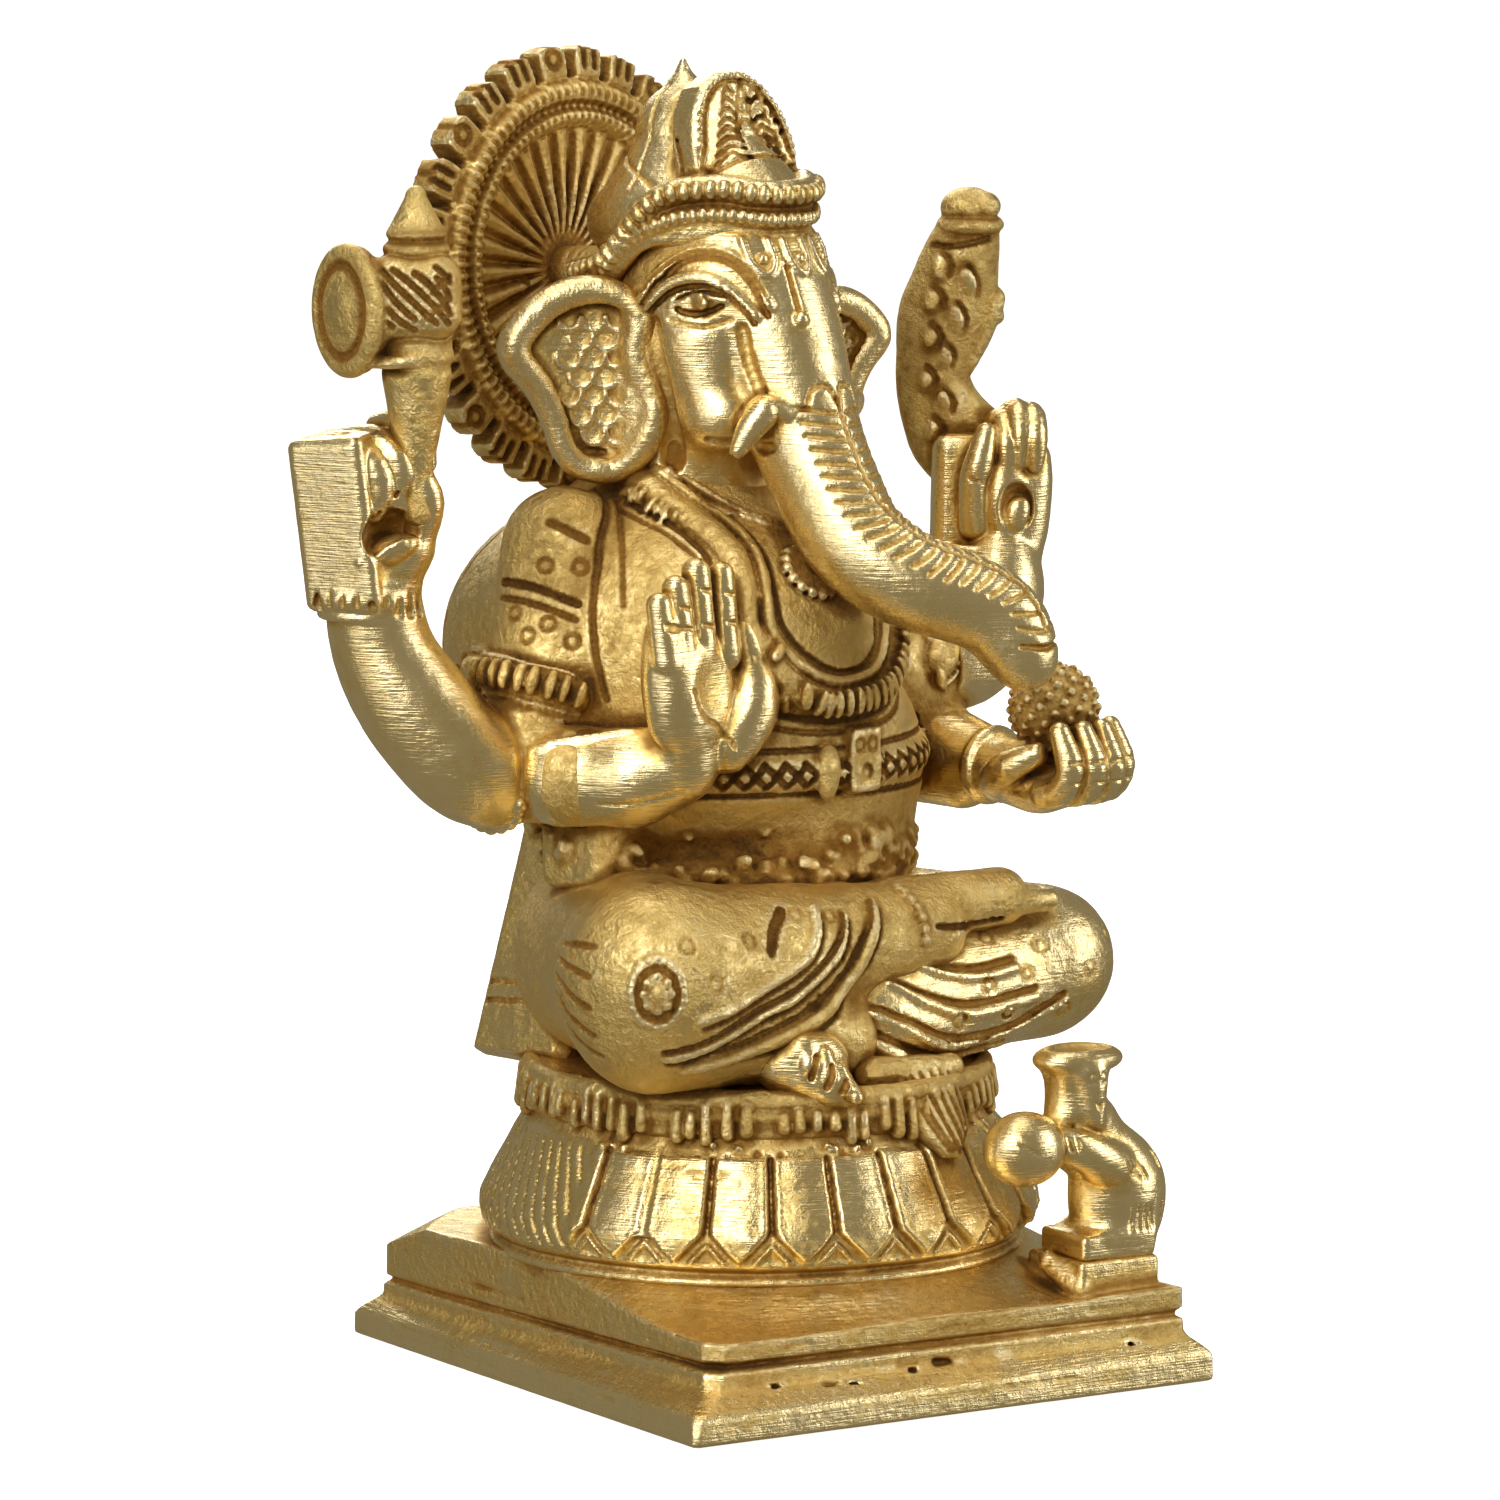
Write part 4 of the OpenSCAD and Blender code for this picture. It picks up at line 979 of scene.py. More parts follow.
def make_ear(name, at, outward, size):
    facing = np.cross(unit(outward), UP)
    axes = np.array([unit(outward), UP, facing * -np.sign(facing[1])])
    at = np.array(at, float)
    outline = np.array(EAR) * size
    reach = 24 * size

    def bend(u, v):
        return 0.022 * (u - 6 * size) ** 2 - 0.4

    low = np.minimum(at, at + axes[0] * reach) - (5, 5, 19 * size)
    high = np.maximum(at, at + axes[0] * reach) + (5, 5, 15 * size)
    clay = Clay(low, high, FINE)
    clay.plate(outline, at, axes, 3.0, r=0.8, bend=bend)

    def spot(u, v, lift=0.0):
        u, v = u * size, v * size
        return at + axes[0] * u + axes[1] * v + axes[2] * (bend(u, v) + lift)

    # Rolled rim, thick all round the free edge
    rim = [spot(u * 0.92 + 0.5, v * 0.92, 1.5) for u, v in EAR[:-2]]
    clay.tube(curve(rim, 1.0), [1.4, 2.0, 2.1, 1.8, 1.6], k=0.5)
    clay.groove([spot(u * 0.74 + 1.6, v * 0.74, 2.0) for u, v in EAR[1:-2]], 0.9, 0.6)
    # Rows of small raised scales inside
    for row in range(7):
        v = 7.6 - 2.7 * row
        end = np.interp(v, (-10, -4, 1, 7), (7.4, 10.0, 13.0, 11.6))
        for u in np.arange(3.6 + 1.7 * (row % 2), end, 3.4):
            bow = [spot(u + 1.7 * math.cos(t), v - 1.9 * math.sin(t),
                1.6) for t in np.linspace(0.1, math.pi - 0.1, 6)]
            clay.ridge(bow, 0.85, 0.4, step=0.7)
    root = [spot(u, v, 1.2) for u,
        v in ((2.0, 9.6), (0.4, 6), (1.2, 2.5), (-1.0, -2), (-1.6, -7), (0.6, -11.6), (4.0, -14.4))]
    clay.tube(curve(root, 1.0), [1.3, 1.7, 1.5, 1.9, 1.5], k=0.5)
    # Torn edge at the root of the rim and the fold behind
    clay.rod(spot(0.5, 6), spot(1, -10), 2.6, 2.2, k=1.5)
    clay.groove([spot(13, 6, -2.4), spot(9, 0, -2.4), spot(8, -9, -2.4)], 0.7, 0.35)
    sculpt(name + "_casting", clay, [name], "brass_figure", "chased", lumps=0.14)


def make_ears():
    make_ear("right_ear", (-12.0, 9.0, 131.0), (-0.70, 0.71, 0), 0.92)
    make_ear("left_ear", (12.6, 4.6, 132.2), (0.97, -0.12, 0), 0.58)


def make_front_right_arm():
    clay = Clay((-40, -26, 70), (-8, 8, 112), FINE)
    clay.rod((-31, 3.5, 79.8), (-27, -5, 80.0), 6.7, 6.0, k=1)
    clay.rod((-27, -5, 80), (-23.8, -10, 82), 6.0, 5.2, k=2)
    palm = axes_for((0.25, -0.97, 0.0), (1, 0, 0))
    clay.egg((-23.2, -12.4, 91.0), (7.6, 9.6, 4.0), palm, k=2)
    clay.egg((-28.8, -12.6, 94.4), (2.6, 9.5, 3.2), palm, k=1)
    fingers = ((-29.9, 105.2, 2.0), (-27.0, 107.2, 2.1), (-23.4, 109.2, 2.2), (-19.0, 108.4, 2.1))
    for x, tip, r in fingers:
        clay.rod((x * 0.94 - 1.4, -13.8, 96), (x, -12.8, tip - r), r, r * 0.86, k=0.25)
        for z in (100.6, tip - 4.0):
            clay.groove([(x - 1.4, -16.4, z), (x + 1.4, -16.0, z - 0.4)], 0.5, 0.35)
    # Thumb and its root, spread to the side
    clay.tube(curve([(-18.5, -13.5, 84), (-15.0, -14, 89), (-14.2, -13.4, 93.6),
        (-15.4, -13, 98.6)], 1.5),
              [3.4, 3.8, 2.9, 1.9], k=0.8)
    clay.egg((-22.2, -17, 92.6), (4.4, 1.6, 5), k=1.2, cut=True)
    clay.groove([(-27, -17, 92.4), (-23, -17, 88.4), (-20.4, -17.4, 84)], 0.6, 0.3)
    # Faceted forearm and the armband's pad at the wrist
    clay.ridge([(-36.6, 4, 83.4), (-31.5, -2, 84.6), (-28, -6, 84.4)], 1.0, 0.3, k=0.8)
    clay.groove([(-33.8, -5, 77), (-29.6, -10, 78), (-26, -13.4, 79)], 0.5, 0.25)
    sculpt("front_right_forearm", clay, ["front_right_arm"], "brass_bright", "polished", lumps=0.1)


def make_front_left_arm():
    clay = Clay((18, -44, 66), (42, 0, 88), FINE)
    clay.rod((30, -3.5, 79), (29.4, -15, 77.4), 5.9, 4.6, k=1)
    clay.rod((29, 0, 76.6), (29.4, -9, 75.6), 5.4, 4.6, k=2)
    clay.loop((29.3, -14.6, 77.4), 4.3, 1.1, axes_for((-0.05, -1, -0.1)), k=0.4)
    clay.egg((28.4, -26, 76.4), (7.0, 9.5, 3.4), k=2)
    clay.rod((29, -18, 77), (28.6, -24, 76.6), 4.2, 4.6, k=2)
    for i, x in enumerate((23.2, 26.4, 29.6, 32.6)):
        reach = (-34.6, -35.8, -36.0, -34.8)[i]
        clay.tube(curve([(x, -30, 75.6), (x + 0.3, reach + 2, 76.2), (x + 0.2, reach, 79.2),
            (x - 0.2, reach + 1.6, 84.0)], 1.3),
                  [2.0, 1.95, 1.8, 1.4], k=0.25)
        for z in (77.4, 80.2):
            clay.groove([(x - 1.2, reach - 1.6, z), (x + 1.2, reach - 1.6, z)], 0.45, 0.25)
    clay.tube(curve([(22.6, -22, 77), (20.6, -26, 79), (21.8, -30, 81)], 1.3), [2.4, 2.1, 1.5],
        k=0.5)
    sculpt("front_left_forearm", clay, ["front_left_arm"], "brass_bright", "polished", lumps=0.1)
    middle = np.array([28.0, -27.2, 86.2])
    sweet = Clay(middle - 8, middle + 8, FINE)
    sweet.ball(middle, 5.7)
    golden = math.pi * (3 - math.sqrt(5))
    for i in range(110):
        z = 1 - 2 * (i + 0.5) / 110
        flat = math.sqrt(1 - z * z)
        out = np.array([flat * math.cos(golden * i), flat * math.sin(golden * i), z])
        sweet.ball(middle + out * 5.75, 0.62, k=0.15)
    sculpt("modak_ball", sweet, ["modak"], "brass_dark", "rough", lumps=0.1)


def make_rear_right_arm():
    clay = Clay((-66, -2, 70), (-34, 38, 129), 0.32)
    clay.tube(curve([(-36, 12, 79.5), (-40.6, 13, 82), (-45.2, 16.4, 88.6), (-48.4, 19.4, 96),
        (-49.6, 20.2, 104)], 2.5),
              [6.9, 6.8, 6.6, 5.8, 5.5], k=2)
    hand = np.array([-49.5, 20.5, 115.0])
    outer = axes_for((-0.10, 0.06, 1), (0.94, 0.34, 0))
    clay.block(hand + (-2.6, 0.8, -1.6), (5.6, 5.4, 11.2), outer, r=1.3, k=1)
    # Heel of the palm, thumb side and the hollow between them
    clay.tube(aside(hand, [(2.6, -1.0, -9), (4.2, -1.2, -5), (5.4, -0.8, -1), (5.6, 0, 3)]),
        [4.2, 3.9, 3.2, 2.7], k=1.5)
    clay.egg(hand + SIDE * 3.2 - AWAY * 1.0, (5.5, 4.5, 8), k=1.5)
    clay.egg(aside(hand, [(2.9, -5.4, -3.4)])[0], (4.4, 2.6, 3.6), k=0.7, cut=True)
    clay.egg(aside(hand, [(2.7, -4.6, -5.4)])[0], (3.9, 2.2, 1.9), axes_for((-0.3, 0.3, 1), SIDE),
        k=0.5)
    clay.ridge(aside(hand, [(-0.9, -7, -6.6), (1.0, -7.4, -5.4), (3.0, -7.4, -4.4),
        (4.6, -7, -3.6)]), 0.9, 0.35)
    fingers = (
        ([(-7.4, 0, 6.4), (-3.0, -3.4, 8.0), (0.6, -5.2, 5.6), (1.5, -5.4, 2.4),
        (0.6, -4.8, -0.2)], 2.05),
        ([(-3.0, 1, 8.4), (0.6, -2.6, 8.6), (3.6, -4.4, 6.4), (4.1, -4.4, 3.6), (3.0, -4.2, 2.4)],
        1.95),
        ([(1.2, 2, 10.0), (4.2, -1.4, 10.6), (6.5, -3.2, 8.4), (7.2, -3.2, 5.8)], 1.9),
    )
    for rows, r in fingers:
        clay.tube(curve(aside(hand, rows), 1.2), [r * 0.95, r, r, r * 0.8], k=0.3)
        tip = aside(hand, [rows[-1]])[0] - AWAY * r * 0.7
        clay.loop(tip, 0.75, 0.25, axes_for(AWAY), cut=True)
    clay.tube(curve(aside(hand,
        [(5.2, -2.8, 4.6), (6.8, -3.2, 3.0), (7.5, -2.8, 0.4), (6.6, -2, -3)]), 1.2),
              [1.7, 2.0, 2.1, 2.2], k=0.4)
    clay.egg(aside(hand, [(5.7, -4.2, 4.3)])[0], (1.6, 1.3, 1.3), k=0.3)
    # Toothed bracelet between two plain rims
    wrist = np.array([-50.2, 20.6, 103.2])
    around = axes_for((0.05, -0.02, 1), SIDE)
    for up, r in ((2.3, 0.75), (-2.3, 0.7)):
        clay.loop(wrist + UP * up, 5.7, r, around, k=0.35)
    clay.loop(wrist, 5.1, 1.9, around, k=0.4)
    for i in range(22):
        t = 2 * math.pi * i / 22
        out = around[0] * math.cos(t) + around[1] * math.sin(t)
        clay.rod(wrist + out * 7.2 - UP * 1.5, wrist + out * 6.9 + UP * 1.5, 0.75, 0.15, cut=True,
            pad=0.8)
    # Braze seam where the arm was joined on
    rng = np.random.default_rng(3)
    for i in range(26):
        t = math.pi * (0.55 + 1.5 * i / 25)
        at = np.array([-36.4 + rng.uniform(-0.5, 0.5), 12 + 7.0 * math.cos(t),
            79.6 + 7.0 * math.sin(t)])
        clay.ball(at, rng.uniform(0.6, 1.0), k=0.3)
    sculpt("rear_right_forearm", clay, ["rear_right_arm"], "brass_bright", "polished", lumps=0.1)


def make_axe():
    foot = np.array([-47.6, 14.0, 118.5])
    collar = np.array([-47.1, 14.1, 134.6])
    along = unit((0.0, 0.02, 1))
    clay = Clay((-64, 0, 112), (-36, 36, 158), FINE)
    clay.rod(foot + (0, -0.6, -4), foot, 1.9, 2.0)
    clay.rod(foot, collar - UP * 2.6, 2.0, 4.5, k=0.5)
    flat = axes_for(along)
    clay.loop(collar, 3.5, 1.3, flat, k=0.4)
    clay.loop(collar + UP * 1.4, 3.4, 1.2, flat, k=0.4)
    clay.egg(collar, (4.4, 4.4, 2.2), k=0.6)
    barrel = collar + (0, 0.2, 7.6)
    clay.block(barrel, (5.9, 5.9, 5.7), axes_for(along, SIDE), r=3.6, k=0.6)
    # Finial: two fat rings and a blunt cone
    for up, r, tall in ((13.6, 4.3, 1.9), (15.6, 3.9, 1.4)):
        clay.egg(collar + UP * up, (r, r, tall), k=0.35)
    clay.rod(collar + UP * 16.4, collar + UP * 20.4, 3.5, 1.4, k=0.4)
    # Slanting bands cut across the barrel
    for shift in np.arange(-11, 12, 2.1):
        rows = [(s, -6.4, 7.6 - 0.95 * s + shift) for s in (-6, -3, 0, 3, 6)]
        rows = [row for row in rows if 2.2 < row[2] < 13.0]
        if len(rows) > 1:
            clay.groove(aside(collar, rows), 0.75, 0.5)
            clay.groove(aside(collar, [(-s, 6.4, z) for s, _, z in rows]), 0.75, 0.5)
    for s, z in ((1.5, 5.0), (3.6, 6.4), (2.4, 8.4), (4.4, 9.6)):
        clay.groove(aside(collar, [(s, -6.2, z), (s + 1.5, -6, z + 1.5)]), 0.45, 0.3)
    # Round blade, face outwards with a thick rim
    blade = np.array([-52.4, 19.8, 140.4])
    face = axes_for((-1, 0.12, 0), (0, 1, 0))
    clay.rod(barrel, blade + (1.5, -1, 0), 4.6, 5.0, k=1)
    clay.egg(blade, (7.0, 8.3, 2.6), face, k=1)
    clay.loop(blade - (1.3, 0, 0), 6.1, 1.25, face, k=0.5, squash=1.18)
    clay.egg(blade - (2.2, 0, 0), (4.2, 5.4, 1.1), face, k=0.6)
    clay.loop(collar + (-1.5, 1.5, -0.6), 4.6, 0.8, flat, k=0.5)
    sculpt("axe_casting", clay, ["axe"], "brass_figure", "figure", lumps=0.12)


def make_rear_left_arm():
    clay = Clay((33, -14, 78), (64, 18, 126), FINE)
    clay.tube(curve([(34, 0, 89), (40, -0.5, 91), (46, 1.0, 96.4), (48, 2.5, 102)], 2),
        [6.2, 6.1, 5.6, 5.2], k=2)
    hand = np.array([48.6, 3.4, 112.8])
    clay.block(hand + SIDE * -2.4 + AWAY * 1.0 + UP * -2.4, (6.6, 3.6, 8.6),
        axes_for((0.03, 0, 1), SIDE), r=2.2, k=1)
    clay.egg(aside(hand, [(1.6, -1.6, -2.6)])[0], (4.6, 3.4, 7.4), k=1)
    clay.tube(curve(aside(hand, [(4.6, 0, 3), (4.0, 0, -3), (2.8, 0, -9)]), 2), [2.6, 3.0, 3.4],
        k=1.2)
    clay.egg(aside(hand, [(2.4, -4.8, -3.4)])[0], (2.8, 1.6, 3.4), k=0.6, cut=True)
    clay.egg(aside(hand, [(2.2, -3.6, -4.6)])[0], (1.9, 1.5, 3.0), axes_for((0.3, -0.3, 1), SIDE),
        k=0.4)
    for s, top in ((0.7, 8.0), (2.6, 9.3), (4.6, 8.8)):
        rows = [(s - 1.2, 3, top - 1), (s, -0.6, top), (s + 0.4, -3.2, top - 2.8),
            (s + 0.3, -3.4, top - 6.4)]
        clay.tube(curve(aside(hand, rows), 1.2), [1.7, 1.75, 1.7, 1.25], k=0.25)
    rows = [(-1.6, -3.4, 6.6), (-2.6, -4.4, 3.0), (-3.4, -4.2, 0.0), (-3.2, -3.0, -6.0)]
    clay.tube(curve(aside(hand, rows), 1.2), [1.5, 1.9, 1.8, 2.1], k=0.4)
    clay.groove(aside(hand, [(-3.9, -6, 0.8), (-2.2, -6, 0.3)]), 0.45, 0.3)
    wrist = aside(hand, [(-2.2, 0.6, -11.2)])[0]
    around = axes_for((0.05, 0, 1), SIDE)
    for up, big in ((1.8, 5.4), (-1.8, 5.3)):
        clay.loop(wrist + UP * up, big, 0.8, around, k=0.3)
    clay.loop(wrist, 4.9, 1.3, around, k=0.4)
    sculpt("rear_left_forearm", clay, ["rear_left_arm"], "brass_bright", "polished", lumps=0.12)


def make_goad():
    clay = Clay((34, -2, 108), (62, 28, 156), FINE)
    base = np.array([48.0, 12.0, 0.0])
    thin = (AWAY, 0.72)
    spine = [(1.6, -1, 112.5), (-0.6, -0.5, 118), (-2.3, 0, 125), (-1.6, 0, 132), (0.4, 0, 138),
        (1.5, 0, 142.4), (2.6, 0, 146)]
    clay.tube(curve(aside(base, spine), 1.6), [2.6, 4.8, 4.6, 4.8, 6.0, 5.4, 4.1], k=0.8, flat=thin)
    # Blunt knob in two steps
    clay.egg(aside(base, [(2.8, 0, 147.0)])[0], (4.6, 4.6, 1.9), k=0.3)
    clay.egg(aside(base, [(2.6, 0, 149.2)])[0], (3.9, 3.9, 2.9), k=0.3)
    clay.egg(aside(base, [(4.6, -1.6, 149.6)])[0], (2.3, 2.3, 2.0), k=0.4)
    clay.rod(*aside(base, [(1.0, -0.6, 122.5), (4.6, -1.4, 120.0)]), 3.2, 2.6, k=2)
    # Second strand with a small hook at the inner side
    clay.tube(curve(aside(base, [(6.0, -0.6, 137), (4.6, -0.8, 132.6), (2.4, -0.6, 127.6)]), 1.2),
        [1.6, 1.3, 1.0], k=0.5)
    clay.ball(aside(base, [(6.2, 0, 134.6)])[0], 1.25, k=0.4)
    # Worn flame-shaped relief on both faces
    for s_at, z, r, turn in ((-1.6, 142.0, 1.9, 0.3), (2.6, 139.4, 2.2, -0.5),
            (-2.4, 137.4, 1.8, 0.5), (1.0, 134.6, 1.9, -0.4), (-2.6, 132.2, 1.7, 0.4),
                             (-0.4, 129.2, 1.7, -0.3), (-3.2, 126.4, 1.5, 0.4),
                                 (-0.8, 123.4, 1.6, -0.4), (-2.2, 119.6, 1.6, 0.3)):
        for depth in (-1, 1):
            spot = clay.snap(aside(base, [(s_at, 4.6 * depth, z)]))[0][0]
            clay.egg(spot, (r * 0.55, 0.8, r), axes_for((math.sin(turn), 0, math.cos(turn)), SIDE),
                k=0.6)
            clay.groove([spot + SIDE * r * 0.7 - UP * r * 0.8, spot + SIDE * r * 0.8,
                spot + UP * r], 0.6, 0.35, k=0.4)
    clay.groove(aside(base, [(-3.6, -3, 145.0), (1, -4.6, 144.6), (5.6, -3, 145.2)]), 0.7, 0.45)
    # Long shank behind the hand
    clay.tube(aside(base, [(1.6, -1, 113), (1.0, -2, 108.6)]), [2.8, 2.2], k=0.6)
    sculpt("goad_casting", clay, ["goad"], "brass_figure", "figure", lumps=0.22)


def make_mouse():
    low, high = node_low("mouse") - 4, node_high("mouse") + 4
    pin = node_middle("mouse_pin")
    ball = node_middle("mouse_sweet") + (-2.6, -0.3, 2.0)
    x0, y0, z0 = pin[0], pin[1], node_low("mouse")[2]
    clay = Clay(low, high, FINE)
    clay.block((x0 - 0.3, y0 + 1.2, z0 + 1.6), (5.6, 5.2, 1.7), r=0.7)
    clay.egg((x0 + 2.6, y0 + 1, z0 + 7), (6.8, 5.4, 8.8), k=2.5)
    clay.rod((x0 - 5.0, y0, z0 + 20), (x0 - 8.6, y0 - 0.6, z0 + 16.4), 3.0, 2.2, k=1.5)
    clay.rod((x0 + 2.8, y0 + 1.5, z0 + 9), (x0 - 1.8, y0 + 0.5, z0 + 17.4), 5.0, 3.6, k=2.5)
    clay.rod((x0 - 3.6, y0 + 0.5, z0 + 16), (x0 - 5.4, y0, z0 + 24), 4.2, 3.6, k=1.5)
    # Flared, cup-like ears over a flat pointed face
    clay.egg((x0 - 4.4, y0, z0 + 26.2), (6.4, 4.6, 2.2), k=1.5)
    clay.egg((x0 - 4.4, y0 - 0.3, z0 + 28.2), (4.8, 3.0, 1.6), k=0.5, cut=True)
    clay.rod((x0 - 4.4, y0 - 3.0, z0 + 24.6), (x0 - 4.0, y0 - 3.6, z0 + 18.4), 2.4, 1.2, k=1)
    for side in (-1.3, 1.1):
        clay.dots([(x0 - 4.4 + side, y0 - 6, z0 + 24.2)], 0.65, 0.28)
    clay.groove([(x0 - 5.2, y0 - 6, z0 + 21), (x0 - 4.2, y0 - 6, z0 + 20.2),
        (x0 - 3.0, y0 - 6, z0 + 21)], 0.45, 0.3)
    # Paws round the sweet
    for lean in (-2.2, 2.4):
        clay.tube(curve([(x0 - 0.5, y0 + lean, z0 + 12), (x0 - 5.6, y0 + lean - 0.8, z0 + 14.6),
            (ball[0] + 4.4, y0 + lean * 0.7 - 0.6, ball[2] + 0.6)], 1.3),
                  [3.0, 2.5, 2.0], k=0.8)
        for i in range(3):
            x = ball[0] + 3.8 + 1.4 * i
            clay.groove([(x, y0 + lean - 4.5, ball[2] + 1.8),
                (x + 0.2, y0 + lean - 4.5, ball[2] - 1.0)], 0.45, 0.3)
    # Hair strokes on its back
    for z, count in ((z0 + 5.2, 4), (z0 + 13.2, 5)):
        for i in range(count):
            y = y0 - 4 + 2.4 * i
            clay.groove([(x0 + 7.5, y, z + 1.6), (x0 + 7.8, y + 0.3, z - 1.4)], 0.5, 0.35)
    for i in range(4):
        clay.groove([(x0 + 1.2 + 1.3 * i, y0 - 7, z0 + 6.4),
            (x0 + 1.0 + 1.4 * i, y0 - 7, z0 + 3.2)], 0.45, 0.3)
    for i in range(3):
        clay.groove([(x0 + 1.2 + 1.2 * i, y0 - 7, z0 + 13.4),
            (x0 + 1.8 + 1.2 * i, y0 - 7, z0 + 10.8)], 0.45, 0.3)
    clay.tube(curve([(x0 + 3, y0 + 5, z0 + 2), (x0 + 1, y0 + 7.4, z0 + 3),
        (x0 - 3, y0 + 7, z0 + 2)], 1.3), [1.3, 1.1, 0.8], k=0.4)
    sculpt("mouse_casting", clay, ["mouse"], "brass_bright", "polished", turned=False)
    sweet = Clay(ball - 8, ball + 8, FINE)
    sweet.egg(ball, (5.6, 4.8, 4.9))
    sweet.groove([ball + (-3, -3.6, 1.4), ball + (-1, -4.2, 0.2)], 0.4, 0.2)
    sculpt("mouse_sweet_ball", sweet, ["mouse_sweet"], "brass_bright", "polished", turned=False)


# ---------------------------------------------------------------- casting the clay


def figure_to_row(points):
    c, s = math.cos(FIGURE_TURN), math.sin(FIGURE_TURN)
    return points @ np.array([[c, s, 0], [-s, c, 0], [0, 0, 1]]) + FIGURE_AT


def row_to_figure(points):
    c, s = math.cos(FIGURE_TURN), math.sin(FIGURE_TURN)
    return (points - FIGURE_AT) @ np.array([[c, -s, 0], [s, c, 0], [0, 0, 1]])


def largest_shell(points, quads):
    """Drops every shell but the one with the most corners."""
    label = np.arange(len(points))
    a = quads[:, [0, 1, 2]].ravel()
    b = quads[:, [1, 2, 3]].ravel()
    while True:
        low = np.minimum(label[a], label[b])
        before = label.copy()
        np.minimum.at(label, a, low)
        np.minimum.at(label, b, low)
        label = label[label]
        if (label == before).all():
            break
    names, counts = np.unique(label, return_counts=True)
    keep = label == names[counts.argmax()]
    quads = quads[keep[quads[:, 0]]]
    index = np.cumsum(keep) - 1
    return points[keep], index[quads]


NOISE = np.random.default_rng(11).uniform(-1, 1, (24, 24, 24)).astype(np.float32)


def value_noise(points, size):
    """Smooth seeded noise between -1 and 1 with the given grain size in millimetres."""
    q = points / size + 37.3
    i = np.floor(q).astype(int)
    t = q - i
    t = t * t * (3 - 2 * t)
    total = np.zeros(len(points))
    for corner in range(8):
        c = np.array([corner & 1, corner >> 1 & 1, corner >> 2 & 1])
        weight = np.prod(np.where(c, t, 1 - t), axis=1)
        j = (i + c) % 24
        total += weight * NOISE[j[:, 0], j[:, 1], j[:, 2]]
    return total


def cast(entry, others):
    """Meshes one clay, roughens it like a sand casting and stores its hollows, edges and shade from itself
    and nearby parts, which the brass paints as patina, rubbed edges and painted shade.
    """
    clay = entry["clay"]
    grid = vdb.FloatGrid(FAR)
    grid.copyFromArray(np.ascontiguousarray(clay.field))
    points, quads = grid.convertToQuads(isovalue=0)
    points, quads = largest_shell(points.astype(float), quads.astype(int))
    points = clay.low + points * clay.cell
    normal = clay.slope(points)
    a, b, c = points[quads[:, 0]], points[quads[:, 1]], points[quads[:, 2]]
    facing = (np.cross(b - a, c - a) * normal[quads[:, 0]]).sum()
    if facing < 0:
        quads = quads[:, ::-1]
    # hollow and shade darken the brass colour: hollow is partly patina in the hollows and partly painted
    # shade, shade is painted shade from this part and its neighbours
    near = clay.sample(points + normal * 0.8) / 0.8
    inner = -clay.sample(points - normal * 0.8) / 0.8
    wide = clay.sample(points + normal * 2.4) / 2.4
    hollow = np.clip(1 - near, 0, 1)
    edge = np.clip(1 - inner, 0, 1)
    placed = figure_to_row(points) if entry["turned"] else points
    outward = (figure_to_row(points + normal) - placed) if entry["turned"] else normal
    probe = placed + outward * 2.0
    probe_figure = row_to_figure(probe)
    for other in others:
        if other is entry:
            continue
        at = probe_figure if other["turned"] else probe
        seen = other["clay"].sample(at)
        wide = np.minimum(wide, np.where(seen < 4, seen / 2.0, 1))
    shade = np.clip(1 - wide, 0, 1)
    rough = value_noise(placed, 2.3) * 0.6 + value_noise(placed, 1.05) * 0.4
    placed = placed + outward * (rough * entry["lumps"] * (0.35 + 0.9 * shade))[:, None]
    mesh = bpy.data.meshes.new(entry["name"])
    mesh.vertices.add(len(placed))
    mesh.vertices.foreach_set("co", (placed * MM).astype(np.float32).ravel())
    mesh.loops.add(quads.size)
    mesh.loops.foreach_set("vertex_index", quads.astype(np.int32).ravel())
    mesh.polygons.add(len(quads))
    mesh.polygons.foreach_set("loop_start", np.arange(0, quads.size, 4, dtype=np.int32))
    mesh.polygons.foreach_set("use_smooth", np.ones(len(quads), bool))
    mesh.update(calc_edges=True)
    mesh.validate()
    # Colour attribute R hollow, G edge, B shade: R is patina with painted shade, G rubbed edges, B painted
    # shade
    wear_and_painted_shade = mesh.color_attributes.new(name="wear_and_painted_shade", type="FLOAT_COLOR", domain="POINT")
    values = np.stack([hollow, edge, shade, np.ones(len(hollow))], 1).astype(np.float32)
    wear_and_painted_shade.data.foreach_set("color", values.ravel())
    piece = bpy.data.objects.new(entry["name"], mesh)
    bpy.context.scene.collection.objects.link(piece)
    piece.data.materials.append(FINISHES[entry["finish"]])
    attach(piece, "root")
    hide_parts(*entry["nodes"])
    return piece


# ---------------------------------------------------------------- brass


